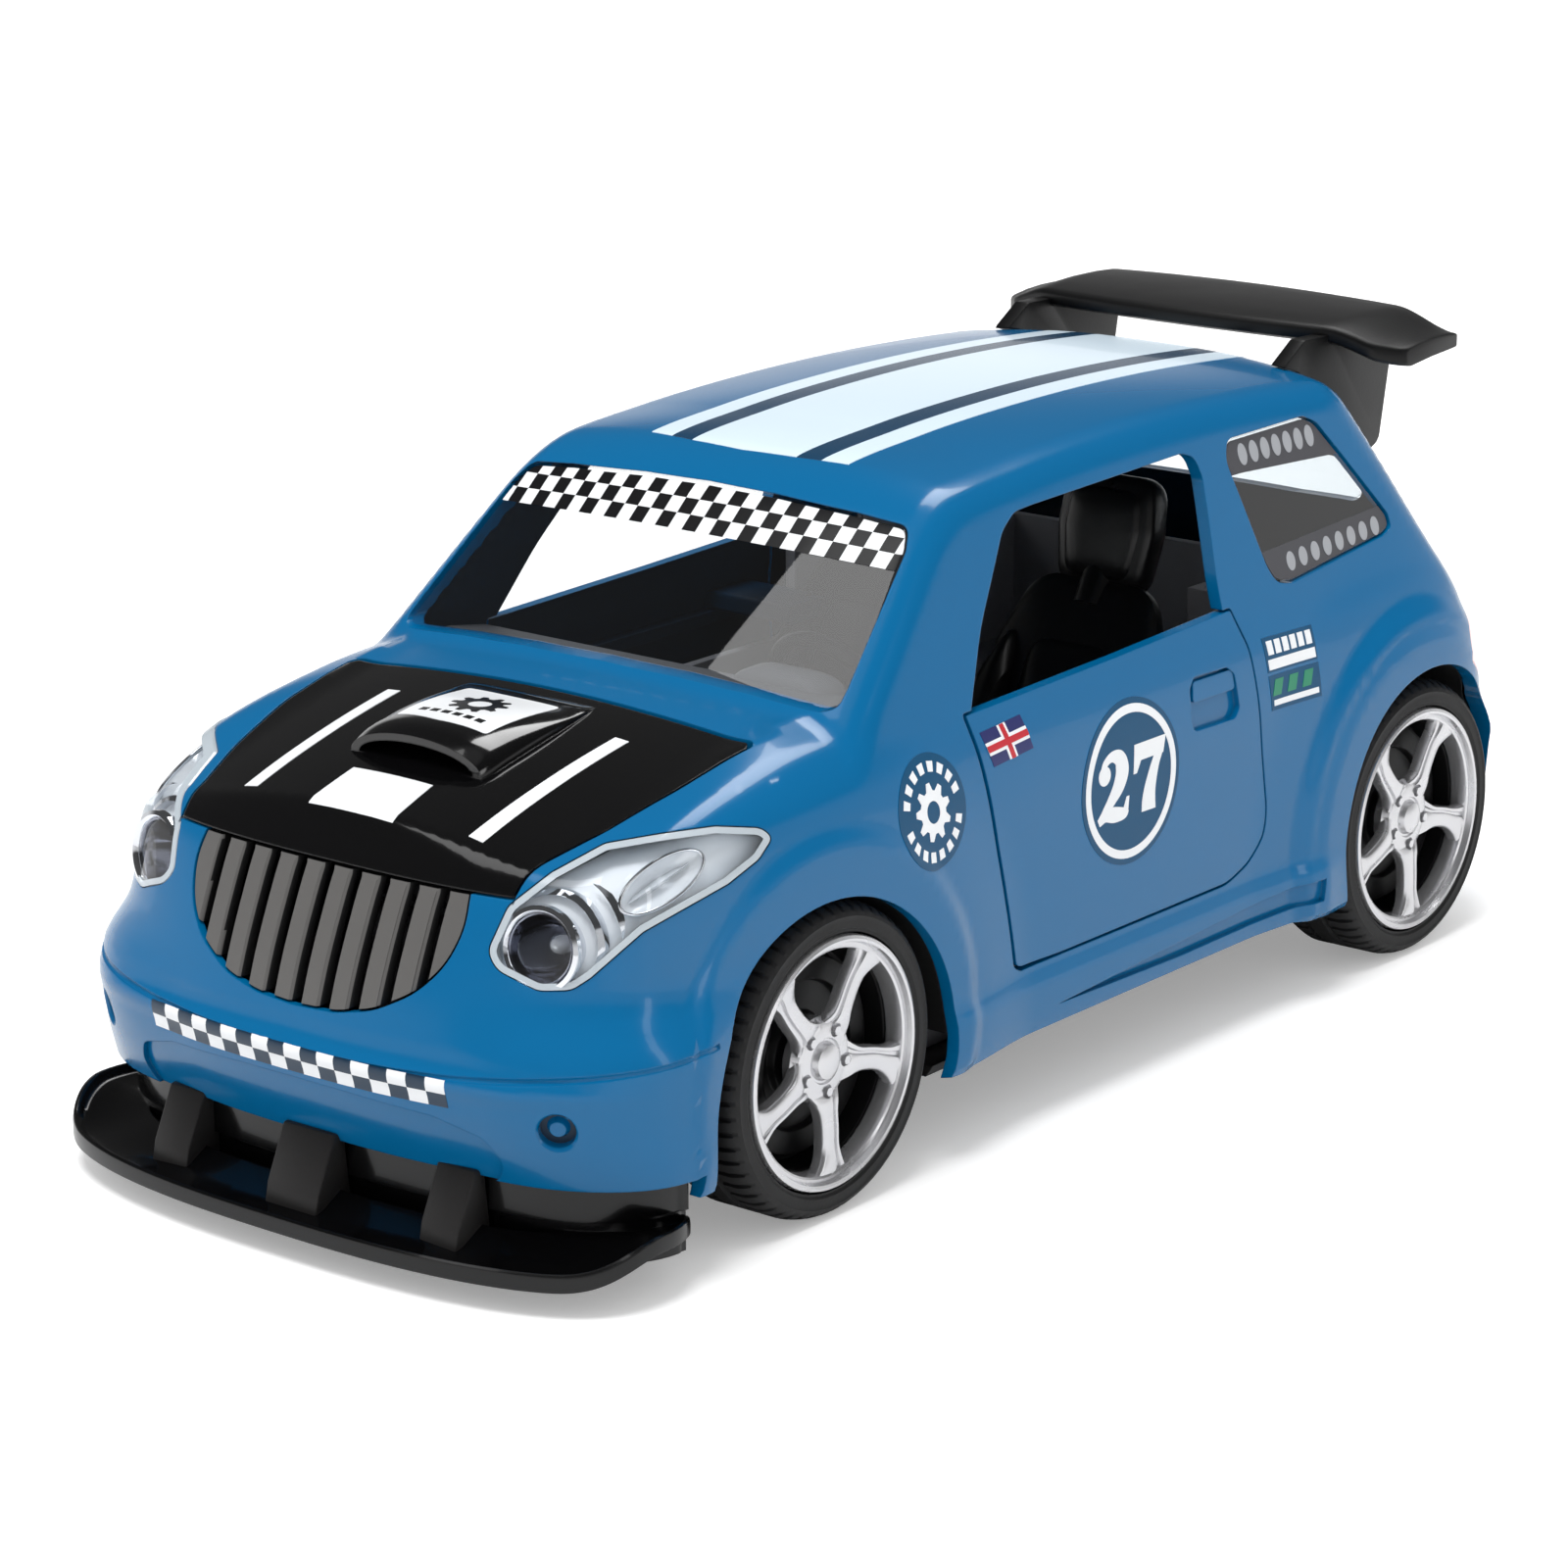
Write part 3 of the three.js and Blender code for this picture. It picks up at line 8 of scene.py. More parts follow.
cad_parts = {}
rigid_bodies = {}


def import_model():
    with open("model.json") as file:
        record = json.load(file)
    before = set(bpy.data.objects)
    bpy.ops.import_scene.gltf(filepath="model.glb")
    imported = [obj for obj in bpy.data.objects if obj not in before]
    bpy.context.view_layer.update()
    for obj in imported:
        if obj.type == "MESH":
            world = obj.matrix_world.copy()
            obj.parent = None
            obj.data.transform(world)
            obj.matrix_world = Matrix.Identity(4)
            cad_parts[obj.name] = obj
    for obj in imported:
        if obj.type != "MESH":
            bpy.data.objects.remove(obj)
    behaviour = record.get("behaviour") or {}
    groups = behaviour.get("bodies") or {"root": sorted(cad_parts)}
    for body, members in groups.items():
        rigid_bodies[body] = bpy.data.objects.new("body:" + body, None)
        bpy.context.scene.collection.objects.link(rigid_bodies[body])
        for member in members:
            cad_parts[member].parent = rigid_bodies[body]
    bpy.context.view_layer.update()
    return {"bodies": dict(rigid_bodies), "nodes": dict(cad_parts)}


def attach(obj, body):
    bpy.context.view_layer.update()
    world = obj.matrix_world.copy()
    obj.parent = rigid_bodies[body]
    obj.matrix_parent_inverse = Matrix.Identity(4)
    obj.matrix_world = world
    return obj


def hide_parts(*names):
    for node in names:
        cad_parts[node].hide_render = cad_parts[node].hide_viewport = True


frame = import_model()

for o in list(bpy.data.objects):
    if o.name not in {n.name for n in list(frame["nodes"].values()) + list(frame["bodies"].values())}:
        bpy.data.objects.remove(o)

# Lengths are millimetres from the front axle (station 0) while a piece is made; place() moves it into the row frame.
MM = 0.001
Y0 = -50.5
WHEELBASE = 125.0
TYRE_R = 18.6
WX = 42.1
WIN = 29.3
SKIN = 1.7
GAP = 0.35


# ------------------------------------------------------------------ body surface
def tab(xs, ys):
    xs, ys = np.array(xs, float), np.array(ys, float)
    h = np.diff(xs)
    d = np.diff(ys) / h
    m = np.empty(len(xs))
    m[0], m[-1] = d[0], d[-1]
    m[1:-1] = (d[:-1] * h[1:] + d[1:] * h[:-1]) / (h[:-1] + h[1:])

    def f(x):
        x = np.clip(x, xs[0], xs[-1])
        i = np.clip(np.searchsorted(xs, x, side="right") - 1, 0, len(h) - 1)
        t = (x - xs[i]) / h[i]
        t2, t3 = t * t, t * t * t
        return (2 * t3 - 3 * t2 + 1) * ys[i] + (t3 - 2 * t2 + t) * h[i] * m[i] + (-2 * t3 + 3 * t2) * ys[i + 1] + (t3 - t2) * h[i] * m[i + 1]

    return f


def ss(a, b, x):
    t = np.clip((x - a) / (b - a), 0, 1)
    return t * t * (3 - 2 * t)


def smax(a, b, k):
    h = np.maximum(k - np.abs(a - b), 0) / k
    return np.maximum(a, b) + h * h * k * 0.25


def smin(a, b, k):
    return -smax(-a, -b, k)


WZ = tab([5, 9, 11, 20, 35, 44, 48, 53, 60, 70, 76, 84], [38.6, 39.6, 40.2, 40.6, 40.5, 40.2, 39.6, 38.1, 36.1, 33.2, 31.3, 28.6])
YN = tab([4, 9, 13, 18, 22, 24.6, 25.6, 28, 33, 38, 43, 48, 56], [-38.7, -40.6, -42.2, -44.4, -45.6, -46.0, -45.3, -44.5, -42.8, -40.7, -38.3, -35.2, -30.0])
YT = tab([4, 10, 18, 25, 30, 36, 43, 50, 60], [146.5, 148.5, 150, 150, 149.8, 149.1, 148.2, 146.3, 141.5])
ZH = tab([-46, -40, -36, -30, -20, -10, 0, 10, 20], [43.8, 46.9, 48.5, 50.4, 52.9, 54.8, 56.2, 57.2, 58.0])
CH = tab([-46, -36, -20, 0, 10, 20], [6.0, 4.6, 3.0, 1.75, 1.5, 1.5])
ZR = tab([20, 28, 34, 50, 73, 100, 121, 135], [75.0, 77.3, 78.6, 80.1, 80.9, 80.4, 79.0, 77.5])
ZB = tab([-60, -20, 20, 105, 140, 160], [9.2, 9.4, 10.6, 10.8, 10.2, 9.8])


def half_width(y, z):
    hi = ss(26, 35, z)
    w = WZ(z) - (0.00006 + 0.00019 * hi * ss(40, -20, y)) * (y - 62) ** 2
    rf, rr = np.hypot(y, z - TYRE_R), np.hypot(y - WHEELBASE, z - TYRE_R)
    w = w + 1.2 * ss(40, 25, rf) + 0.7 * ss(27.8, 24.6, rf)
    w = w + 1.3 * ss(30.5, 26.5, rr) + 0.5 * ss(26.6, 23.8, rr) + 0.6 * ss(40, 27, rr)
    return w + 0.7 * ss(20.0, 17.0, z) * ss(16, 27, y) * (1 - ss(98, 107, y))


def F(x, y, z, floor=None):
    x = np.abs(x)
    a = half_width(y, z)
    yc, yd = -26.0, 116.0
    u = np.maximum(yc - y, 0) / (yc - YN(z))
    v = np.maximum(y - yd, 0) / (YT(z) - yd)
    front = (((x / a) ** 2.55 + u**2.55) ** (1 / 2.55) - 1) * 30
    rear = (((x / a) ** 5.5 + v**5.5) ** (1 / 5.5) - 1) * 39
    side = np.where(y < yc, front, np.where(y > yd, rear, x - a))
    side = side - 1.5 * ss(33, 26, z) * (ss(18, 34, x) * ss(-14, -27, y) + 0.9 * ss(18, 34, x) * ss(134, 144, y))
    side = np.where(z > 52, side * 0.955, side)
    ex = np.maximum(x - 30.6, 0)
    zh = ZH(y) - CH(y) * (x / 30) ** 2 - (0.30 * ss(-22, 4, y) - 0.02) * ex + ss(26, 36, x) * ss(16, -2, y)
    dh = (z - zh) * 0.97
    dw = 0.658 * (9.1 + (z - 55.2) * 1.144 + 3.5 * ((x / 33) ** 2 - 1) - y)
    dr = z - (ZR(y) - 0.4 - 2.2 * (x / 31) ** 2.6)
    dq = 0.786 * (y - (119.3 + (76.1 - z) * 0.786 + (ss(40, 78, z) * 2.5 + 3.5) * (1 - (x / 33) ** 2.5)))
    f = smax(side, smax(smax(dr, dq, 2.5), smin(dh, dw, 1.5), 3.0), 3.4)
    if floor is None:
        return smax(f, ZB(y) - z, 1.2)
    return np.maximum(f, floor - z)


def gradF(P, e=0.04):
    g = np.empty_like(P)
    for k in range(3):
        d = np.zeros(3)
        d[k] = e
        A, B = P + d, P - d
        g[:, k] = F(A[:, 0], A[:, 1], A[:, 2], 2.0) - F(B[:, 0], B[:, 1], B[:, 2], 2.0)
    n = np.linalg.norm(g, axis=1, keepdims=True)
    return g / np.maximum(n, 1e-9)


def cast(P, D, level=0.0, floor=2.0, far=95.0, n=34):
    """Distance along D from P, a point inside, to the surface."""
    lo, hi = np.zeros(len(P)), np.full(len(P), far)
    for _ in range(n):
        t = (lo + hi) / 2
        Q = P + D * t[:, None]
        inside = F(Q[:, 0], Q[:, 1], Q[:, 2], floor) < level
        lo, hi = np.where(inside, t, lo), np.where(inside, hi, t)
    return P + D * lo[:, None]


# ------------------------------------------------------------------ mesh tools
def mk(V, faces, name="m"):
    me = bpy.data.meshes.new(name)
    V = np.asarray(V, float)
    if isinstance(faces, np.ndarray):
        k = faces.shape[1]
        me.vertices.add(len(V))
        me.vertices.foreach_set("co", V.astype(np.float32).ravel())
        me.loops.add(faces.size)
        me.loops.foreach_set("vertex_index", faces.astype(np.int32).ravel())
        me.polygons.add(len(faces))
        me.polygons.foreach_set("loop_start", np.arange(0, faces.size, k, dtype=np.int32))
        me.update(calc_edges=True)
    else:
        me.from_pydata([tuple(v) for v in V], [], [tuple(f) for f in faces])
        me.update()
    return me


def coords(me):
    co = np.empty(len(me.vertices) * 3, np.float32)
    me.vertices.foreach_get("co", co)
    return co.reshape(-1, 3).astype(float)


def volume(me):
    co = coords(me)
    me.calc_loop_triangles()
    t = np.empty(len(me.loop_triangles) * 3, np.int32)
    me.loop_triangles.foreach_get("vertices", t)
    t = t.reshape(-1, 3)
    a, b, c = co[t[:, 0]], co[t[:, 1]], co[t[:, 2]]
    return float((a * np.cross(b, c)).sum() / 6)


def orient(me):
    if volume(me) < 0:
        me.flip_normals()
    return me


def boolean(base, *ops):
    """ops are (operation, mesh) pairs, done in turn."""
    scene = bpy.context.scene.collection
    ob = bpy.data.objects.new("work", base)
    scene.objects.link(ob)
    used = []
    for op, m in ops:
        o2 = bpy.data.objects.new("tool", m)
        scene.objects.link(o2)
        used.append(o2)
        md = ob.modifiers.new("b", "BOOLEAN")
        md.operation, md.solver, md.object = op, "MANIFOLD", o2
    bpy.context.view_layer.update()
    dg = bpy.context.evaluated_depsgraph_get()
    out = bpy.data.meshes.new_from_object(ob.evaluated_get(dg))
    for o2 in used + [ob]:
        bpy.data.objects.remove(o2)
    if not len(out.polygons):
        print("EMPTY boolean", [(o, len(m.polygons)) for o, m in ops])
    return out


def cut(a, *bs):
    return boolean(a, *[("DIFFERENCE", b) for b in bs])


def keep(a, *bs):
    return boolean(a, *[("INTERSECT", b) for b in bs])


def fuse(a, *bs):
    return boolean(a, *[("UNION", b) for b in bs])


def flip(me):
    m = me.copy()
    m.transform(Matrix.Diagonal((-1, 1, 1, 1)))
    m.flip_normals()
    return m


def joined(*ms):
    """Several closed meshes as one mesh, without a boolean."""
    V, Fc, MI, off = [], [], [], 0
    for m in ms:
        co = coords(m)
        V.append(co)
        for p in m.polygons:
            Fc.append([i + off for i in p.vertices])
            MI.append(p.material_index)
        off += len(co)
    me = mk(np.vstack(V), Fc)
    me.polygons.foreach_set("material_index", np.array(MI, np.int32))
    return me


def smooth(me, deg=32):
    me.polygons.foreach_set("use_smooth", np.ones(len(me.polygons), bool))
    me.set_sharp_from_angle(angle=math.radians(deg))
    return me


def modified(me, *mods):
    """me after modifiers given as (type, settings)."""
    ob = bpy.data.objects.new("work", me)
    bpy.context.scene.collection.objects.link(ob)
    for kind, settings in mods:
        md = ob.modifiers.new("m", kind)
        for k, v in settings.items():
            setattr(md, k, v)
    bpy.context.view_layer.update()
    out = bpy.data.meshes.new_from_object(ob.evaluated_get(bpy.context.evaluated_depsgraph_get()))
    bpy.data.objects.remove(ob)
    return out


def bevelled(me, w, seg=2, deg=30):
    return modified(me, ("BEVEL", {"width": w, "segments": seg, "limit_method": "ANGLE", "angle_limit": math.radians(deg), "harden_normals": False, "use_clamp_overlap": True}))


def remeshed_smooth(me, level=1):
    return modified(me, ("SUBSURF", {"levels": level, "render_levels": level}))


def prism(pts, U, Vv, W, w0, w1, O=(0, 0, 0)):
    U, Vv, W, O = (np.array(a, float) for a in (U, Vv, W, O))
    n = len(pts)
    P = np.array([O + U * p[0] + Vv * p[1] for p in pts])
    V = np.vstack([P + W * w0, P + W * w1])
    faces = [list(range(n))[::-1], list(range(n, 2 * n))] + [[i, (i + 1) % n, (i + 1) % n + n, i + n] for i in range(n)]
    return orient(mk(V, faces))


X, Y, Z = (1, 0, 0), (0, 1, 0), (0, 0, 1)


def prism_x(pts, a, b):
    return prism(pts, Y, Z, X, a, b)


def prism_y(pts, a, b):
    return prism(pts, X, Z, Y, a, b)


def prism_z(pts, a, b):
    return prism(pts, X, Y, Z, a, b)


def box(x0, x1, y0, y1, z0, z1):
    return prism_z([(x0, y0), (x1, y0), (x1, y1), (x0, y1)], z0, z1)


def basis(d):
    d = np.array(d, float)
    d = d / np.linalg.norm(d)
    h = np.array([0, 0, 1.0]) if abs(d[2]) < 0.9 else np.array([1.0, 0, 0])
    u = np.cross(h, d)
    u /= np.linalg.norm(u)
    return u, np.cross(d, u), d


def rod(p, q, r, seg=32, r2=None):
    p, q = np.array(p, float), np.array(q, float)
    r2 = r if r2 is None else r2
    u, v, _ = basis(q - p)
    a = np.arange(seg) * 2 * np.pi / seg
    ring = np.outer(np.cos(a), u) + np.outer(np.sin(a), v)
    V = np.vstack([p + ring * r, q + ring * r2])
    faces = [list(range(seg))[::-1], list(range(seg, 2 * seg))] + [[i, (i + 1) % seg, (i + 1) % seg + seg, i + seg] for i in range(seg)]
    return orient(mk(V, faces))


def lathe(profile, seg=96, O=(0, 0, 0), W=X, U=None, radial=None):
    """Closed (radius, along) profile turned about W through O; a profile that touches the axis is closed there."""
    O = np.array(O, float)
    u, v, w = basis(W)
    if U is not None:
        u = np.array(U, float)
        v = np.cross(w, u)
    pr = np.array(profile, float)
    ang = np.arange(seg) * 2 * np.pi / seg
    ring = np.outer(np.cos(ang), u) + np.outer(np.sin(ang), v)
    V, idx = [], []
    for k, (r, a) in enumerate(pr):
        if r < 1e-6:
            idx.append([len(V)])
            V.append(O + w * a)
        else:
            idx.append(list(range(len(V), len(V) + seg)))
            for s in range(seg):
                rr = r if radial is None else radial(k, s, r)
                V.append(O + ring[s] * rr + w * a)
    faces, n = [], len(pr)
    for k in range(n):
        A, B = idx[k], idx[(k + 1) % n]
        if len(A) == 1 and len(B) == 1:
            continue
        for s in range(seg):
            t = (s + 1) % seg
            f = [A[s % len(A)], A[t % len(A)], B[t % len(B)], B[s % len(B)]]
            f = [f[i] for i in range(4) if f[i] != f[i - 1]]
            faces.append(f)
    return orient(mk(np.array(V), faces))


def loft(sections, closed=False):
    """sections are equal-length rings of points; the first and last are capped."""
    S = [np.array(s, float) for s in sections]
    n, k = len(S[0]), len(S)
    V = np.vstack(S)
    faces = []
    for i in range(k if closed else k - 1):
        a, b = i * n, ((i + 1) % k) * n
        faces += [[a + j, a + (j + 1) % n, b + (j + 1) % n, b + j] for j in range(n)]
    if not closed:
        faces += [list(range(n))[::-1], list(range((k - 1) * n, k * n))]
    return orient(mk(V, faces))


def tube(path, r, seg=12, closed=False, squash=1.0, up=None):
    P = np.array(path, float)
    n = len(P)
    T = np.roll(P, -1, 0) - np.roll(P, 1, 0) if closed else np.gradient(P, axis=0)
    T /= np.linalg.norm(T, axis=1, keepdims=True)
    if up is None:
        u = basis(T[0])[0]
    else:
        u = np.array(up, float)
    rings = []
    a = np.arange(seg) * 2 * np.pi / seg
    rr = np.full(n, r) if np.isscalar(r) else np.array(r)
    for i in range(n):
        if up is None:
            u = u - T[i] * (u @ T[i])
            u /= np.linalg.norm(u)
            v = np.cross(T[i], u)
        else:
            v = np.cross(T[i], u)
            v /= np.linalg.norm(v)
        rings.append(P[i] + (np.outer(np.cos(a), u) * squash + np.outer(np.sin(a), v)) * rr[i])
    return loft(rings, closed)


def blob(c, size, power=2.6, nu=28, nv=18, rot=None):
    """A closed superellipsoid."""
    sp = lambda t, e: np.sign(t) * np.abs(t) ** e
    e = 2 / power
    V, idx = [], []
    for j in range(nv + 1):
        ph = -np.pi / 2 + np.pi * j / nv
        if j in (0, nv):
            idx.append([len(V)])
            V.append([0, 0, math.copysign(1, ph)])
            continue
        idx.append(list(range(len(V), len(V) + nu)))
        for i in range(nu):
            th = 2 * np.pi * i / nu
            V.append([sp(np.cos(ph), e) * sp(np.cos(th), e), sp(np.cos(ph), e) * sp(np.sin(th), e), sp(np.sin(ph), e)])
    V = np.array(V, float) * np.array(size, float)
    if rot is not None:
        V = V @ np.array(Matrix.Rotation(math.radians(rot[0]), 3, rot[1])).T
    V = V + np.array(c, float)
    faces = []
    for j in range(nv):
        A, B = idx[j], idx[j + 1]
        for i in range(nu):
            t = (i + 1) % nu
            f = [A[i % len(A)], A[t % len(A)], B[t % len(B)], B[i % len(B)]]
            faces.append([f[k] for k in range(4) if f[k] != f[k - 1]])
    return orient(mk(V, faces))


# ------------------------------------------------------------------ outlines
def grow(pts, d):
    p = np.array(pts, float)
    area = (p[:, 0] * np.roll(p[:, 1], -1) - np.roll(p[:, 0], -1) * p[:, 1]).sum()
    sg = 1 if area > 0 else -1
    out, n = [], len(p)
    for i in range(n):
        a, c, b = p[i - 1], p[i], p[(i + 1) % n]
        e1, e2 = c - a, b - c
        n1 = np.array([e1[1], -e1[0]]) / np.hypot(*e1) * sg
        n2 = np.array([e2[1], -e2[0]]) / np.hypot(*e2) * sg
        out.append(c + (n1 + n2) * d / max(1 + n1 @ n2, 0.35))
    return np.array(out)


def fillet(pts, r, seg=5):
    """Rounds every corner of a closed outline; r is one radius or one per corner."""
    p = np.array(pts, float)
    n, out = len(p), []
    for i in range(n):
        a, c, b = p[i - 1], p[i], p[(i + 1) % n]
        ri = r if np.isscalar(r) else r[i]
        u, v = a - c, b - c
        lu, lv = np.hypot(*u), np.hypot(*v)
        u, v = u / lu, v / lv
        ang = math.acos(max(-1, min(1, float(u @ v))))
        if ang > math.radians(176) or ri <= 0:
            out.append(c)
            continue
        t = min(ri / math.tan(ang / 2), 0.47 * lu, 0.47 * lv)
        s, e = c + u * t, c + v * t
        for k in range(seg + 1):
            q = k / seg
            out.append(s * (1 - q) ** 2 + c * 2 * q * (1 - q) + e * q * q)
    return np.array(out)


def mirrored(half):
    return [tuple(p) for p in half] + [(-p[0], p[1]) for p in reversed(half) if abs(p[0]) > 1e-6]


DOOR = [(28.6, 52.9), (35.6, 20.6), (37.2, 19.8), (45, 19.8), (81.5, 19.8), (86.2, 21.4), (89.4, 24.2), (90.1, 27.5), (88.6, 40), (87.2, 49.5), (85.2, 54.6), (60, 53.7)]
DOOR_R = [0.5, 1.6, 1.6, 0, 9, 7, 6, 9, 6, 6, 0.8, 0]
SIDE_WINDOW = [(30.1, 52.4), (35.4, 61.5), (43.4, 71.3), (46.5, 73.0), (50, 73.2), (82, 74.0), (84.6, 73.2), (85.3, 70.5), (83.6, 58), (83.4, 53)]
REAR_SIDE = [(91.0, 71.5), (92.2, 74.1), (110, 74.2), (112.6, 73.0), (124.4, 59.4), (124.6, 57.6), (122.5, 56.9), (99.5, 54.9), (96.2, 55.6), (94.8, 58)]
SCREEN = mirrored([(0, 57.6), (12, 57.4), (22, 56.9), (32, 56.1), (33.6, 56.6), (33.4, 58.4), (30.6, 71.5), (29.2, 73.8), (22, 74.5), (10, 75.2), (0, 75.4)])
HATCH = mirrored([(0, 57.2), (14, 57.2), (25, 57.8), (27.6, 59.5), (26.4, 70.2), (24.4, 72.2), (12, 73.0), (0, 73.2)])
GRILLE = mirrored([(0, 28.6), (6, 28.9), (11.3, 30.0), (16.4, 32.6), (19.6, 36.0), (20.9, 40.3), (20.2, 43.2)])
BONNET_EDGE = mirrored([(0, -0.6), (15, -0.6), (30.4, -0.4), (31.2, -1.6), (30.6, -13.3), (28.6, -23.9), (26.2, -31.5), (24.0, -48), (0, -48)])
RECESS = mirrored([(0, 12.2), (22, 12.0), (26.5, 12.6), (28, 15.2), (26.4, 18.2), (20, 19.9), (8, 20.5), (0, 20.6)])
LAMP_W = np.array([-0.618, 0.729, -0.2955])
LAMP_W /= np.linalg.norm(LAMP_W)
LAMP_U = np.array([0.729, 0.618, 0])
LAMP_U /= np.linalg.norm(LAMP_U)
LAMP_V = -np.cross(LAMP_W, LAMP_U)
LAMP3 = [(24.0, -38.6, 38.2), (25.6, -38.8, 36.4), (30.5, -37.6, 34.7), (33.6, -35.6, 34.9), (35.0, -34.0, 36.2), (37.0, -27.5, 40.2), (39.7, -16.3, 43.4), (40.2, -11.5, 45.2), (39.6, -8.3, 46.9), (39.0, -9.6, 48.3), (37.3, -15.7, 49.6), (33.8, -21.0, 49.3), (29.9, -25.6, 48.6), (27.3, -31.5, 46.2), (24.9, -36.0, 43.0)]
LAMP = [(float(np.dot(p, LAMP_U)), float(np.dot(p, LAMP_V))) for p in LAMP3]
TAIL_O = (39.5, 146, 38.8)
TAIL_U = np.array([-0.7071, 0.7071, 0])
TAIL_W = np.array([-0.7071, -0.7071, 0])


def oval(a, b, n, p=2.4):
    t = np.arange(n) * 2 * np.pi / n
    c, s = np.cos(t), np.sin(t)
    return np.stack([a * np.sign(c) * np.abs(c) ** (2 / p), b * np.sign(s) * np.abs(s) ** (2 / p)], 1)


def soft(pts, r, n=1):
    return fillet(pts, r)


F_DOOR = fillet(DOOR, DOOR_R)
F_WINDOW = fillet(SIDE_WINDOW, [0.6, 30, 6, 4, 4, 3, 2.5, 3, 20, 0.8])
F_REAR_SIDE = fillet(REAR_SIDE, [3, 2, 3, 3, 2, 2, 2, 8, 4, 6])
F_SCREEN = fillet(SCREEN, 3)
F_HATCH = fillet(HATCH, 4)
F_GRILLE = fillet(GRILLE[:6] + [(20.2, 44.3), (-20.2, 44.3)] + GRILLE[8:], [12, 12, 12, 12, 12, 8, 1.2, 1.2, 8, 12, 12, 12, 12])
F_LAMP = fillet(LAMP, 3.0)
F_TAIL = oval(7.2, 6.2, 64, 2.6)


def lamp_cut(d, w0=-70, w1=0):
    return prism(grow(F_LAMP, d), LAMP_U, LAMP_V, LAMP_W, w0, w1)


def tail_cut(d):
    return cut(prism(grow(F_TAIL, d), TAIL_U, Z, TAIL_W, -14, 14, TAIL_O), rod((20, 126.3, 18.5), (62, 126.3, 18.5), 22.2 - d, 96))


# ------------------------------------------------------------------ skins
def rng(*parts):
    out = []
    for a, b, step in parts:
        n = max(1, int(round((b - a) / step)))
        out += [a + (b - a) * i / n for i in range(n)]
    return out + [parts[-1][1]]


FINE = {
    "phi": rng((-90, -58, 6), (-58, -10, 1.3), (-10, 16, 2.0), (16, 36, 0.85), (36, 50, 1.8), (50, 63, 0.9), (63, 90, 2.2)),
    "caps": rng((1.6, 88.4, 1.55)),
    "st": rng((-12, 42, 0.9), (42, 90, 1.6), (90, 118, 0.9)),
}
COARSE = {
    "phi": rng((-90, -50, 10), (-50, 16, 3.5), (16, 63, 2.2), (63, 90, 4)),
    "caps": rng((4, 86, 3.4)),
    "st": rng((-12, 42, 2.4), (42, 92, 4), (92, 118, 2.4)),
}


SKINS = {}


def skin(level, floor, grid):
    key = (level, floor, grid is FINE)
    if key not in SKINS:
        SKINS[key] = skin_mesh(level, floor, grid)
    return SKINS[key].copy()


def skin_mesh(level, floor, grid):
    phi = np.radians(grid["phi"])
    c, s = np.cos(phi), np.sin(phi)
    rings = []
    for a in np.radians(grid["caps"]):
        rings.append((-12.0, -math.cos(a), math.sin(a)))
    for y in grid["st"]:
        rings.append((y, 0.0, 1.0))
    for a in np.radians(grid["caps"])[::-1]:
        rings.append((118.0, math.cos(a), math.sin(a)))
    n = len(phi)
    P = np.zeros((len(rings) * n, 3))
    D = np.zeros_like(P)
    for i, (y, dy, q) in enumerate(rings):
        P[i * n : (i + 1) * n] = (0, y, 30)
        D[i * n : (i + 1) * n] = np.stack([q * c, np.full(n, dy), q * s], 1)
    Q = cast(P, D, level, floor).reshape(len(rings), n, 3)
    Q[:, 0, 0] = 0
    Q[:, -1, 0] = 0
    M = Q[:, 1:-1][:, ::-1].copy()
    M[..., 0] *= -1
    R = np.concatenate([Q, M], 1)
    k = R.shape[1]
    ends = cast(np.array([[0, -12.0, 30], [0, 118.0, 30]]), np.array([[0, -1.0, 0], [0, 1.0, 0]]), level, floor)
    V = np.vstack([R.reshape(-1, 3), ends])
    i, j = np.meshgrid(np.arange(len(rings) - 1), np.arange(k), indexing="ij")
    a, b = i * k + j, i * k + (j + 1) % k
    tri1 = np.stack([a, b, b + k], -1).reshape(-1, 3)
    tri2 = np.stack([a, b + k, a + k], -1).reshape(-1, 3)
    j = np.arange(k)
    e0, e1, L = len(V) - 2, len(V) - 1, (len(rings) - 1) * k
    cap0 = np.stack([np.full(k, e0), (j + 1) % k, j], -1)
    cap1 = np.stack([np.full(k, e1), L + j, L + (j + 1) % k], -1)
    return orient(mk(V, np.vstack([tri1, tri2, cap0, cap1])))


OUTER = skin(0, None, FINE)
INNER = skin(-SKIN, 2.0, COARSE)
DOOR_IN = skin(-1.5, 2.0, COARSE)
LEVELS = {}


def level(v, grid=COARSE):
    key = (v, id(grid))
    if key not in LEVELS:
        LEVELS[key] = skin(v, 2.0, grid)
    return LEVELS[key].copy()


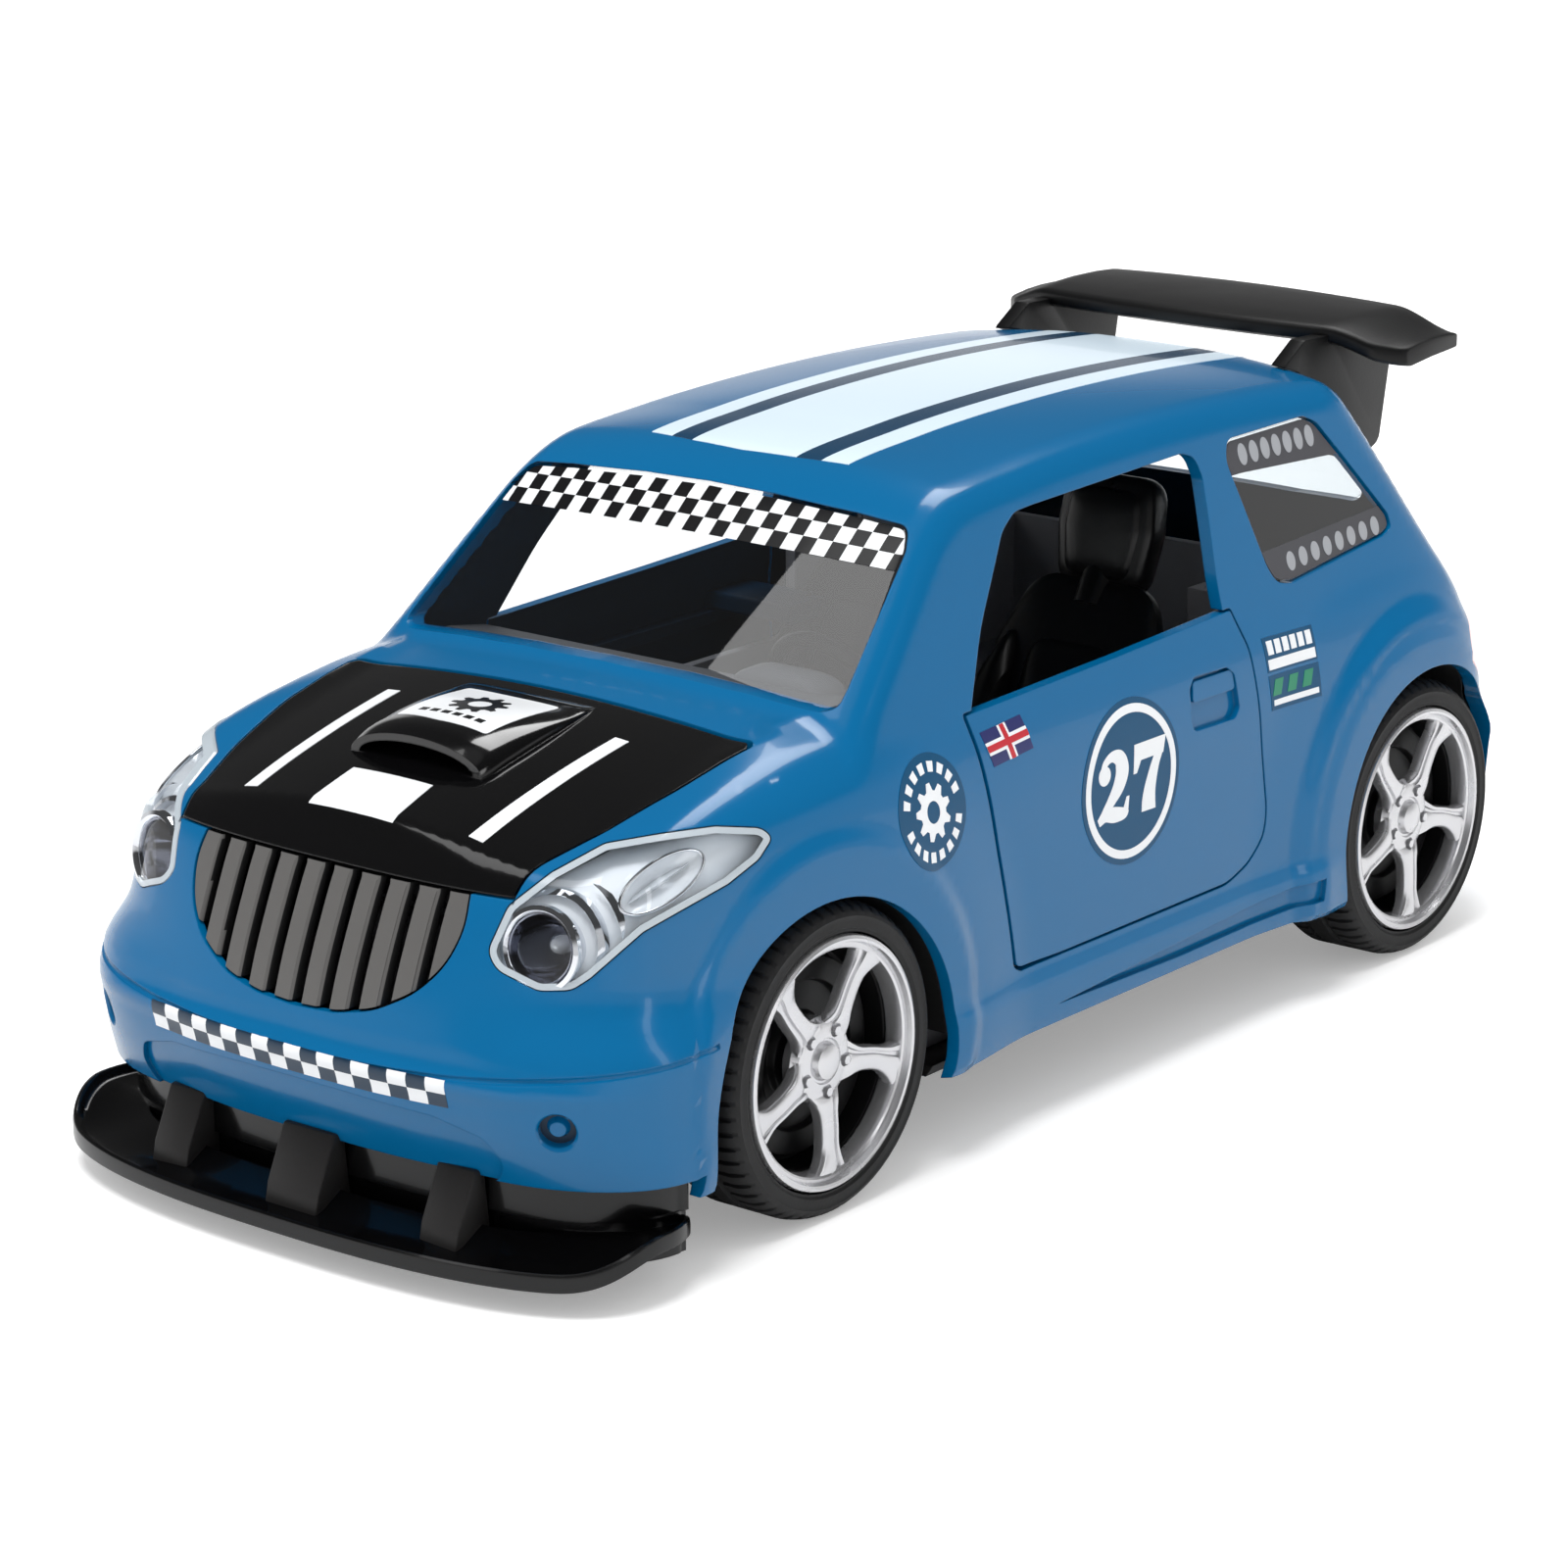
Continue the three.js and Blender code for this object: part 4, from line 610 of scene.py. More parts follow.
def skin_normals(me):
    """Shades the faces that follow the body surface, at any depth, with its true normals, and keeps the cut walls flat. me is in millimetres."""
    co = coords(me)
    nl = len(me.loops)
    li = np.empty(nl, np.int32)
    me.loops.foreach_get("vertex_index", li)
    tot = np.empty(len(me.polygons), np.int32)
    me.polygons.foreach_get("loop_total", tot)
    pn = np.empty(len(me.polygons) * 3, np.float32)
    me.polygons.foreach_get("normal", pn)
    pn = pn.reshape(-1, 3).astype(float)
    pc = np.empty(len(me.polygons) * 3, np.float32)
    me.polygons.foreach_get("center", pc)
    pc = pc.reshape(-1, 3).astype(float)
    lp = np.repeat(np.arange(len(me.polygons)), tot)
    g = gradF(pc)
    d = (g * pn).sum(1)
    fv = F(co[:, 0], co[:, 1], co[:, 2], 2.0)
    low, high = np.full(len(pc), 1e9), np.full(len(pc), -1e9)
    np.minimum.at(low, lp, fv[li])
    np.maximum.at(high, lp, fv[li])
    on = (np.abs(d) > 0.9) & (high - low < 0.22)
    sign = np.where(d > 0, 1.0, -1.0)
    gv = gradF(co)
    N = pn[lp].copy()
    m = on[lp]
    cand = gv[li] * sign[lp][:, None]
    okn = (cand * pn[lp]).sum(1) > 0.6
    m &= okn
    N[m] = cand[m]
    me.polygons.foreach_set("use_smooth", np.ones(len(me.polygons), bool))
    me.normals_split_custom_set(N.tolist())
    return me


# ------------------------------------------------------------------ materials
MATS = {}


def material(name, base, rough=0.4, metal=0.0, coat=0.0, coat_rough=0.05, trans=0.0, ior=1.46, var=0.0, var_scale=60, bump=0.0, bump_scale=900, rough_var=0.0, alpha=1.0, edge=0.0, spec=0.5, sub=0.0):
    if name in MATS:
        return MATS[name]
    m = bpy.data.materials.new(name)
    m.use_nodes = True
    nt = m.node_tree
    b = nt.nodes["Principled BSDF"]
    lin = tuple(((c / 12.92) if c <= 0.04045 else ((c + 0.055) / 1.055) ** 2.4) for c in base)
    b.inputs["Base Color"].default_value = (*lin, 1)
    b.inputs["Roughness"].default_value = rough
    b.inputs["Metallic"].default_value = metal
    b.inputs["Coat Weight"].default_value = coat
    b.inputs["Coat Roughness"].default_value = coat_rough
    b.inputs["Transmission Weight"].default_value = trans
    b.inputs["IOR"].default_value = ior
    b.inputs["Alpha"].default_value = alpha
    b.inputs["Specular IOR Level"].default_value = spec
    tc = nt.nodes.new("ShaderNodeTexCoord")
    if var or rough_var:
        no = nt.nodes.new("ShaderNodeTexNoise")
        no.inputs["Scale"].default_value = var_scale
        no.inputs["Detail"].default_value = 4
        nt.links.new(tc.outputs["Object"], no.inputs["Vector"])
        if var:
            mr = nt.nodes.new("ShaderNodeMapRange")
            mr.inputs["To Min"].default_value = 1 - var
            mr.inputs["To Max"].default_value = 1 + var
            nt.links.new(no.outputs["Fac"], mr.inputs["Value"])
            mx = nt.nodes.new("ShaderNodeVectorMath")
            mx.operation = "SCALE"
            mx.inputs[0].default_value = lin
            nt.links.new(mr.outputs["Result"], mx.inputs["Scale"])
            nt.links.new(mx.outputs["Vector"], b.inputs["Base Color"])
        if rough_var:
            mr2 = nt.nodes.new("ShaderNodeMapRange")
            mr2.inputs["To Min"].default_value = max(0, rough - rough_var)
            mr2.inputs["To Max"].default_value = rough + rough_var
            nt.links.new(no.outputs["Fac"], mr2.inputs["Value"])
            nt.links.new(mr2.outputs["Result"], b.inputs["Roughness"])
    last = None
    if edge:
        bv = nt.nodes.new("ShaderNodeBevel")
        bv.samples = 4
        bv.inputs["Radius"].default_value = edge * MM
        last = bv.outputs["Normal"]
    if bump:
        n2 = nt.nodes.new("ShaderNodeTexNoise")
        n2.inputs["Scale"].default_value = bump_scale
        n2.inputs["Detail"].default_value = 2
        nt.links.new(tc.outputs["Object"], n2.inputs["Vector"])
        bp = nt.nodes.new("ShaderNodeBump")
        bp.inputs["Strength"].default_value = bump
        bp.inputs["Distance"].default_value = 0.0002
        nt.links.new(n2.outputs["Fac"], bp.inputs["Height"])
        if last is not None:
            nt.links.new(last, bp.inputs["Normal"])
        last = bp.outputs["Normal"]
    if last is not None:
        nt.links.new(last, b.inputs["Normal"])
    MATS[name] = m
    return m


BLUE = (0.0, 0.385, 0.585)
paint = material("blue_gloss_plastic", BLUE, 0.2, coat=0.28, coat_rough=0.04, spec=0.32, var=0.02, var_scale=25, rough_var=0.03, bump=0.015, bump_scale=160, edge=0.25)
# painted shade: a darker copy of the body blue for the inner faces of the shell and doors, standing in for the shade
# inside the car
inner_blue_painted_shade = material("blue_inside_painted_shade", (0.02, 0.15, 0.24), 0.5, var=0.03, var_scale=60, edge=0.2)
black_gloss = material("black_gloss_plastic", (0.03, 0.03, 0.034), 0.12, coat=0.5, coat_rough=0.03, rough_var=0.03, var_scale=40, bump=0.02, bump_scale=300, edge=0.25)
black_satin = material("black_satin_plastic", (0.045, 0.046, 0.05), 0.4, spec=0.32, var=0.06, var_scale=90, rough_var=0.06, bump=0.05, bump_scale=2200, edge=0.3)
black_matte = material("black_matte_plastic", (0.05, 0.05, 0.053), 0.6, var=0.08, var_scale=120, bump=0.08, bump_scale=2600, edge=0.3)
grey_rib = material("grey_satin_plastic", (0.37, 0.365, 0.36), 0.36, var=0.04, var_scale=80, rough_var=0.05, bump=0.04, bump_scale=1800)
rubber = material("tyre_rubber", (0.075, 0.075, 0.08), 0.62, var=0.12, var_scale=160, rough_var=0.08, bump=0.14, bump_scale=2400)
rim_silver = material("vacuum_plated_silver", (0.86, 0.86, 0.87), 0.26, metal=0.85, var=0.03, var_scale=140, rough_var=0.07, bump=0.05, bump_scale=900)
lamp_silver = material("lamp_satin_silver", (0.90, 0.92, 0.94), 0.16, metal=0.25, coat=0.6, rough_var=0.06, var=0.05, var_scale=150)
lamp_pale = material("lamp_pale_silver", (0.93, 0.95, 0.97), 0.2, metal=0.0, coat=0.8, rough_var=0.06, var=0.04, var_scale=200)
chrome = material("lamp_chrome", (0.92, 0.93, 0.95), 0.06, metal=1.0, rough_var=0.02, var_scale=200)
# painted reflection: a darker copy of the lamp chrome, so the headlight bowl and its ring look as if they reflect dark
# surroundings
bowl_chrome_painted_dark_reflection = material("bowl_chrome_painted_dark_reflection", (0.62, 0.63, 0.67), 0.08, metal=1.0, rough_var=0.03, var_scale=200)
steel = material("plain_steel", (0.62, 0.63, 0.65), 0.3, metal=1.0, var=0.05, var_scale=400, rough_var=0.08, bump=0.05, bump_scale=3000)
gear_white = material("acetal_white", (0.86, 0.86, 0.83), 0.38, var=0.03, var_scale=200, rough_var=0.05, edge=0.12)
seat_black = material("seat_black_plastic", (0.045, 0.045, 0.05), 0.3, rough_var=0.06, var_scale=150, bump=0.1, bump_scale=1500)
white_print = material("white_print", (0.93, 0.94, 0.95), 0.25, coat=0.3, var=0.01, var_scale=80)
pale_print = material("pale_blue_print", (0.86, 0.93, 0.98), 0.25, coat=0.3, var=0.01, var_scale=80)
navy_print = material("dark_teal_print", (0.03, 0.235, 0.36), 0.25, coat=0.3, var=0.02, var_scale=80)
slate_print = material("slate_print", (0.05, 0.17, 0.26), 0.28, coat=0.2, var=0.02, var_scale=80)
disc_print = material("petrol_print", (0.0, 0.29, 0.44), 0.32, spec=0.3, coat=0.0, var=0.02, var_scale=80)
black_print = material("black_print", (0.06, 0.06, 0.07), 0.28, coat=0.2, var=0.02, var_scale=80)
grey_print = material("charcoal_print", (0.27, 0.27, 0.29), 0.4, var=0.03, var_scale=80)
dot_print = material("light_grey_print", (0.62, 0.63, 0.65), 0.35, var=0.02, var_scale=80)
red_print = material("red_print", (0.75, 0.10, 0.16), 0.3, var=0.02, var_scale=80)
green_print = material("green_print", (0.10, 0.52, 0.38), 0.3, var=0.02, var_scale=80)
flag_blue = material("deep_blue_print", (0.10, 0.13, 0.38), 0.3, var=0.02, var_scale=80)


def glass(name, tint, rough=0.02, mix=0.12):
    """Thin clear plastic: mostly straight through, with a clear reflection on top."""
    if name in MATS:
        return MATS[name]
    m = bpy.data.materials.new(name)
    m.use_nodes = True
    nt = m.node_tree
    nt.nodes.remove(nt.nodes["Principled BSDF"])
    out = nt.nodes["Material Output"]
    tr = nt.nodes.new("ShaderNodeBsdfTransparent")
    tr.inputs["Color"].default_value = (*tint, 1)
    gl = nt.nodes.new("ShaderNodeBsdfGlossy")
    gl.inputs["Roughness"].default_value = rough
    gl.inputs["Color"].default_value = (1, 1, 1, 1)
    fr = nt.nodes.new("ShaderNodeFresnel")
    fr.inputs["IOR"].default_value = 1.5
    tc = nt.nodes.new("ShaderNodeTexCoord")
    no = nt.nodes.new("ShaderNodeTexNoise")
    no.inputs["Scale"].default_value = 30
    nt.links.new(tc.outputs["Object"], no.inputs["Vector"])
    bp = nt.nodes.new("ShaderNodeBump")
    bp.inputs["Strength"].default_value = 0.02
    bp.inputs["Distance"].default_value = 0.0005
    nt.links.new(no.outputs["Fac"], bp.inputs["Height"])
    nt.links.new(bp.outputs["Normal"], gl.inputs["Normal"])
    nt.links.new(bp.outputs["Normal"], fr.inputs["Normal"])
    ad = nt.nodes.new("ShaderNodeMath")
    ad.operation = "ADD"
    ad.use_clamp = True
    ad.inputs[1].default_value = mix
    nt.links.new(fr.outputs["Fac"], ad.inputs[0])
    ge = nt.nodes.new("ShaderNodeNewGeometry")
    iv = nt.nodes.new("ShaderNodeMath")
    iv.operation = "SUBTRACT"
    iv.inputs[0].default_value = 1.0
    nt.links.new(ge.outputs["Backfacing"], iv.inputs[1])
    ml = nt.nodes.new("ShaderNodeMath")
    ml.operation = "MULTIPLY"
    nt.links.new(ad.outputs[0], ml.inputs[0])
    nt.links.new(iv.outputs[0], ml.inputs[1])
    mx = nt.nodes.new("ShaderNodeMixShader")
    nt.links.new(ml.outputs[0], mx.inputs[0])
    nt.links.new(tr.outputs[0], mx.inputs[1])
    nt.links.new(gl.outputs[0], mx.inputs[2])
    nt.links.new(mx.outputs[0], out.inputs["Surface"])
    MATS[name] = m
    return m


clear = glass("clear_pane", (0.93, 0.95, 0.96), 0.015, 0.05)
lamp_clear = glass("clear_lamp", (0.98, 0.985, 0.99), 0.01, 0.02)
tail_clear = glass("clear_pink_lamp", (0.93, 0.80, 0.80), 0.03, 0.10)
# painted highlight: a light, partly clear plastic for the bead along each lens outline, standing in for the light
# caught by the lens edges
lens_edge_painted_highlight = material("clear_edge_painted_highlight", (0.80, 0.84, 0.87), 0.12, coat=0.6, coat_rough=0.03, trans=0.25, var=0.03, var_scale=300, rough_var=0.04)

# ------------------------------------------------------------------ pieces
MADE = {}


def place(name, me, mats, body, nodes=(), slot=None, shade=None):
    if not isinstance(mats, (list, tuple)):
        mats = [mats]
    me.materials.clear()
    for m in mats:
        me.materials.append(m)
    if shade == "skin":
        skin_normals(me)
    elif shade == "skins":
        skin_normals(me)
    elif shade is not None:
        smooth(me, shade)
    me.transform(Matrix.Diagonal((MM, MM, MM, 1)) @ Matrix.Translation((0, Y0, 0)))
    me.name = name
    ob = bpy.data.objects.new(name, me)
    bpy.context.scene.collection.objects.link(ob)
    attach(ob, body)
    if nodes:
        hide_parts(*([nodes] if isinstance(nodes, str) else nodes))
    MADE[name] = ob
    return ob


ARCHES = [rod((24, -0.3, 15.5), (60, -0.3, 15.5), 22.4, 96), rod((24, 126.3, 18.5), (60, 126.3, 18.5), 20.7, 96)]
ARCHES += [flip(a) for a in ARCHES]

# ------------------------------------------------------------------ body shell
def path_on_skin(points, off=0.0, n=60):
    """Points spaced evenly along a polyline, each pushed out from the spine onto the skin, off mm above it."""
    p = np.array(points, float)
    seg = np.hypot(*np.diff(p[:, ::2], axis=0).T) + np.abs(np.diff(p[:, 1]))
    s = np.concatenate([[0], np.cumsum(seg)])
    q = np.linspace(0, s[-1], n)
    P = np.stack([np.interp(q, s, p[:, k]) for k in range(3)], 1)
    C = np.zeros_like(P)
    C[:, 1] = np.clip(P[:, 1], -12, 118)
    C[:, 2] = P[:, 2]
    D = P - C
    D /= np.linalg.norm(D, axis=1, keepdims=True)
    Q = cast(C, D, 0.0, 2.0)
    return Q + gradF(Q) * off


groove_half = [(0, -46, 24.2), (12, -45.4, 24.4), (22, -44.2, 24.8), (33.3, -40.7, 25.8), (40.4, -34.5, 26.4), (43.1, -27.9, 26.7), (43.4, -22.0, 26.9)]
groove = path_on_skin([(-x, y, z) for x, y, z in groove_half[:0:-1]] + groove_half, 0.12, 120)
groove = tube(groove, 0.42, 8)

deep = skin(-0.9, 2.0, FINE)
recess = cut(prism_y(fillet(RECESS, 2.5), -60, -30), deep)
fog_c = np.array([34.7, -39.7, 20.0])
fog_c = path_on_skin([fog_c, fog_c + 0.01], 0.0, 2)[0]
fog_n = gradF(fog_c[None])[0]
fog = fuse(cut(rod(fog_c - fog_n * 4, fog_c + fog_n * 4, 2.1, 48), rod(fog_c - fog_n * 6, fog_c - fog_n * 1.5, 2.4, 48), rod(fog_c - fog_n * 1.6, fog_c - fog_n * 0.8, 1.35, 32, 0.9)), rod(fog_c - fog_n * 0.4, fog_c + fog_n * 2, 2.1, 48, 4.2))
shell = cut(OUTER.copy(), INNER, *ARCHES)
side_cuts = [prism_x(F_DOOR, 24, 60), prism_x(F_WINDOW, 24, 60), prism_x(F_REAR_SIDE, 24, 60)]
shell = cut(shell, *side_cuts, *[flip(c) for c in side_cuts])
shell = cut(shell, prism_y(F_SCREEN, -6, 45), prism_y(F_HATCH, 110, 170), prism_y(F_GRILLE, -60, -28))
F_BONNET = fillet(BONNET_EDGE, [0, 0, 1.2, 1.2, 25, 25, 10, 0, 0, 0, 10, 25, 25, 1.2, 1.2, 0])
shell = cut(shell, prism_z(F_BONNET, 43.6, 70), lamp_cut(0), flip(lamp_cut(0)), tail_cut(0), flip(tail_cut(0)))
sill = cut(prism_x([(44, 14.0), (70, 15.3), (100.4, 16.6), (100.2, 13.6), (70, 13.4)], 24, 60), skin(-0.75, 2.0, FINE))
shell = cut(shell, recess, fog, flip(fog), box(-60, 60, -60, 160, 0, 9.8), box(-60, 60, -60, -24.5, 0, 12.7), groove, sill, flip(sill))
place("body_shell_skin", shell, [paint], "car", "body_shell", "body_blue", "skins")

# ------------------------------------------------------------------ doors
DA = dict(x=38.3, y=40.05, z=20.0, dy=-0.2195, dz=0.9756)


def axis_at(t):
    return np.array([DA["x"], DA["y"] + DA["dy"] * t, DA["z"] + DA["dz"] * t])


door_line = grow(F_DOOR, -GAP)
door_line = np.array([(p[0] + (0.3 if p[0] < 36.9 and p[1] < 53 else 0), p[1] + (0.25 if p[1] < 20.4 and p[0] < 40 else 0)) for p in door_line])
door = keep(cut(OUTER.copy(), DOOR_IN), prism_x(door_line, 30, 60))
door = fuse(door, rod(axis_at(2.6), axis_at(12.6), 1.35, 24), rod(axis_at(16.6), axis_at(26.4), 1.35, 24))
lvl7 = skin(-0.7, 2.0, COARSE)
for a, b in [((24.5, 26.2), (35.4, 84.5)), ((43.4, 45.0), (42, 84.5))]:
    door = fuse(door, keep(prism_x([(b[0], a[0]), (b[1], a[0]), (b[1], a[1]), (b[0], a[1])], 36.6, 39.6), lvl7))
UD, WD = (0, DA["dz"], -DA["dy"]), (0, DA["dy"], DA["dz"])
door = cut(door, prism([(-3.2, -8), (3.4, -8), (3.4, 1.22), (-3.2, 1.22)], UD, X, WD, 12.9, 16.3, axis_at(0)))
door = cut(door, rod(axis_at(1.4), axis_at(27.6), 0.66, 24))
HANDLE = fillet([(73.2, 43.2), (73.6, 41.4), (82.8, 41.2), (83.8, 42.4), (83.2, 46.8), (81.8, 47.9), (74.4, 48.1), (73.2, 46.8)], 1.1)
cup = cut(prism_x(HANDLE, 24, 60), skin(-0.85, 2.0, COARSE))
grip = keep(prism_x(fillet([(73.9, 44.9), (83.2, 44.9), (82.9, 47.4), (74.3, 47.5)], 0.6), 24, 60), skin(-0.15, 2.0, FINE))
door = fuse(cut(door, cup), keep(grip, skin(-0.15, 2.0, COARSE)))
place("door_left_skin", door.copy(), [paint], "door_left", "door_left", "body_blue", "skins")
place("door_right_skin", flip(door), [paint], "door_right", "door_right", "body_blue", "skins")

# ------------------------------------------------------------------ bonnet and scoop
BA = (-9.0, 51.8)
bonnet = cut(OUTER.copy(), skin(-1.4, 2.0, COARSE))
bonnet_line = np.array([(p[0], p[1] - 0.45) if p[1] > -2 else tuple(p) for p in grow(F_BONNET, -GAP)])
bonnet = keep(bonnet, prism_z(bonnet_line, 43.9, 70))
SC_Y = [-23.6, -22.6, -18.5, -12.5, -7.2, -4.4, -3.2]
SC_R = tab(SC_Y, [10.0, 10.2, 10.3, 10.2, 9.9, 9.6, 9.3])
SC_H = tab(SC_Y, [3.2, 3.6, 3.4, 2.3, 1.1, 0.6, 0.12])
SC_P = tab(SC_Y, [2.0, 2.0, 2.2, 2.8, 3.4, 3.6, 3.6])


def scoop_z(x, y):
    """Height of the scoop's outer surface."""
    r, h, p = SC_R(y), SC_H(y), SC_P(y)
    return ZH(y) - 0.2 + h * np.maximum(1 - np.abs(x / r) ** p, 0) ** (1 / p)


def scoop_ring(y, dr, dh, base=0.9, n=36):
    t = np.pi * np.arange(n + 1) / n
    p = float(SC_P(y))
    c, s = np.cos(t), np.sin(t)
    r, h = float(SC_R(y)) + dr, max(float(SC_H(y)) + dh, 0.05)
    z0 = float(ZH(y)) - 0.2
    pts = [(r * np.sign(a) * abs(a) ** (2 / p), y, z0 + h * abs(b) ** (2 / p)) for a, b in zip(c, s)]
    return pts + [(-r, y, z0 - base), (r, y, z0 - base)]


scoop = loft([scoop_ring(y, 0, 0) for y in np.linspace(-23.6, -3.2, 32)])
scoop = cut(scoop, skin(-0.9, 2.0, COARSE))
mouth = loft([scoop_ring(y, -1.3, -1.0, 0.0) for y in np.linspace(-27, -11.5, 14)])
bonnet = cut(fuse(bonnet, scoop), cut(mouth, skin(-0.15, 2.0, FINE)))
lugs = prism_x([(-12.6, 54.6), (-5.2, 56.2), (-7.4, 50.7), (-9.0, 50.2), (-10.6, 50.7)], 17.2, 20.2)
lugs = keep(lugs, skin(-0.6, 2.0, COARSE))
bonnet = cut(fuse(bonnet, lugs, flip(lugs)), rod((-30, *BA), (30, *BA), 0.66, 24))
place("bonnet_panel", bonnet, [black_gloss], "bonnet", "bonnet", "gloss_black", None)
me = MADE["bonnet_panel"].data


def mixed_normals(ob, deg=35, tol=0.1):
    """True skin normals where faces lie on the skin, smooth-by-angle normals on the rest. ob is already placed."""
    me = ob.data
    me.polygons.foreach_set("use_smooth", np.ones(len(me.polygons), bool))
    me.set_sharp_from_angle(angle=math.radians(deg))
    me.update()
    nl = len(me.loops)
    cn = np.empty(nl * 3, np.float32)
    me.corner_normals.foreach_get("vector", cn)
    cn = cn.reshape(-1, 3).astype(float)
    co = coords(me) / MM
    co[:, 1] -= Y0
    li = np.empty(nl, np.int32)
    me.loops.foreach_get("vertex_index", li)
    tot = np.empty(len(me.polygons), np.int32)
    me.polygons.foreach_get("loop_total", tot)
    pn = np.empty(len(me.polygons) * 3, np.float32)
    me.polygons.foreach_get("normal", pn)
    pn = pn.reshape(-1, 3).astype(float)
    lp = np.repeat(np.arange(len(tot)), tot)
    fv = F(co[:, 0], co[:, 1], co[:, 2], 2.0)
    onv = np.abs(fv) < tol
    allon = np.ones(len(tot), bool)
    np.logical_and.at(allon, lp, onv[li])
    g = gradF(co)
    ok = allon[lp] & ((g[li] * pn[lp]).sum(1) > 0.85)
    cn[ok] = g[li][ok]
    me.normals_split_custom_set(cn.tolist())


mixed_normals(MADE["bonnet_panel"])

# ------------------------------------------------------------------ glazing
def pane(cutter, lo=-1.5, hi=-0.35):
    return keep(cut(skin(hi, 2.0, FINE), skin(lo, 2.0, COARSE)), cutter)


place("windscreen_pane", pane(prism_y(grow(F_SCREEN, -0.3), -6, 45)), [clear], "car", "windscreen", "clear", "skins")
place("rear_window_pane", pane(prism_y(grow(F_HATCH, -0.3), 110, 170)), [clear], "car", "rear_window", "clear", "skins")
side_pane = pane(prism_x(grow(F_REAR_SIDE, -0.3), 24, 60))
place("rear_side_pane_left", side_pane.copy(), [clear], "car", "rear_side_window_left", "clear", "skins")
place("rear_side_pane_right", flip(side_pane), [clear], "car", "rear_side_window_right", "clear", "skins")

# ------------------------------------------------------------------ grille
def skin_y(x, z, lv=0.0):
    """Front station of the skin at (x, z)."""
    n = np.size(x)
    P = np.stack([np.broadcast_to(x, n), np.full(n, 0.0), np.broadcast_to(z, n)], 1).astype(float)
    D = np.zeros((n, 3))
    D[:, 1] = -1
    return cast(P, D, lv, 2.0)[:, 1]


grille = keep(cut(skin(-0.25, 2.0, FINE), skin(-2.9, 2.0, COARSE)), prism_y(grow(F_GRILLE, -0.3), -60, -30), box(-30, 30, -60, -20, 20, 43.5))
channels = []
for xc in (-16.8, -12.6, -8.4, -4.2, 0, 4.2, 8.4, 12.6, 16.8):
    rings = []
    for z in np.arange(25, 49, 1.5):
        zz = float(np.clip(z, 28, 43.5))
        y0 = float(skin_y(np.array([float(xc)]), np.array([zz]), -0.25)[0])
        rings.append([(xc - 1.0, y0 - 3, z), (xc - 1.0, y0 + 0.02, z), (xc - 0.72, y0 + 0.3, z), (xc - 0.55, y0 + 0.6, z), (xc - 0.5, y0 + 2.1, z), (xc + 0.5, y0 + 2.1, z), (xc + 0.55, y0 + 0.6, z), (xc + 0.72, y0 + 0.3, z), (xc + 1.0, y0 + 0.02, z), (xc + 1.0, y0 - 3, z)])
    channels.append(loft(rings))
grille = cut(grille, *channels)
ob = place("grille_bars", grille, [grey_rib, black_matte], "car", "grille", "grille_grey", 40)


def paint_by(ob, fn):
    """Sets material indices from face centres and normals given in millimetres."""
    me = ob.data
    n = len(me.polygons)
    c = np.empty(n * 3, np.float32)
    me.polygons.foreach_get("center", c)
    nn = np.empty(n * 3, np.float32)
    me.polygons.foreach_get("normal", nn)
    c = c.reshape(-1, 3).astype(float) / MM
    c[:, 1] -= Y0
    me.polygons.foreach_set("material_index", fn(c, nn.reshape(-1, 3).astype(float)).astype(np.int32))


# painted shade: faces more than 0.95 mm deep in the grille take black_matte, darkening the slots between the grey bars
paint_by(ob, lambda c, n: (F(c[:, 0], c[:, 1], c[:, 2], 2.0) < -0.95))
# painted shade: inner and deep faces of the shell and doors get the darker inner blue
for n in ("body_shell_skin", "door_left_skin", "door_right_skin"):
    MADE[n].data.materials.append(inner_blue_painted_shade)
    paint_by(MADE[n], lambda c, n: (F(c[:, 0], c[:, 1], c[:, 2], 2.0) < -1.45) | ((F(c[:, 0], c[:, 1], c[:, 2], 2.0) < -1.2) & ((gradF(c) * n).sum(1) < -0.8)))

# ------------------------------------------------------------------ lamps
bonnet_room = prism_z(grow(F_BONNET, 0.15), 43.2, 70)
lens = cut(pane(lamp_cut(-0.35), -0.9, -0.02), bonnet_room)
flange = cut(keep(cut(skin(0.12, 2.0, FINE), skin(-1.9, 2.0, COARSE)), cut(lamp_cut(-0.12), lamp_cut(-0.85))), bonnet_room)
refl = keep(cut(skin(-2.2, 2.0, FINE), skin(-4.8, 2.0, COARSE)), cut(lamp_cut(-0.5), bonnet_room))
BOWL_C = np.array([29.5, -36.0, 38.9])
BOWL_D = np.array([0.20, -0.965, 0.17])
BOWL_D /= np.linalg.norm(BOWL_D)
bowl_face = cast(BOWL_C[None] - BOWL_D * 8, BOWL_D[None], -1.5, 2.0)[0]
refl = cut(refl, rod(bowl_face - BOWL_D * 14, bowl_face + BOWL_D * 8, 4.15, 64))
SIG_A, SIG_B = np.array([37.0, -30.2, 43.7]), np.array([38.6, -18.2, 47.4])
sig_n = gradF(((SIG_A + SIG_B) / 2)[None])[0]
sig_u = (SIG_B - SIG_A) / np.linalg.norm(SIG_B - SIG_A)
sig_n = sig_n - sig_u * float(np.dot(sig_n, sig_u))
sig_n /= np.linalg.norm(sig_n)
sig_v = np.cross(sig_n, sig_u)
sig_c = (SIG_A + SIG_B) / 2 - sig_n * 1.4


def signal_bowl(k, h0, h1, p=2.0):
    """An elongated dish, k of the full outline wide, from h0 deep at the middle to h1 at its edge."""
    rings = []
    for t in np.linspace(0.02, 1, 12):
        o = np.array(oval(6.1 * k * t, 2.15 * k * t, 48, p))
        z = h0 + (h1 - h0) * t**2
        rings.append([sig_c + sig_u * a + sig_v * b + sig_n * z for a, b in o])
    return loft(rings + [[q - sig_n * 3.0 for q in rings[-1]]])


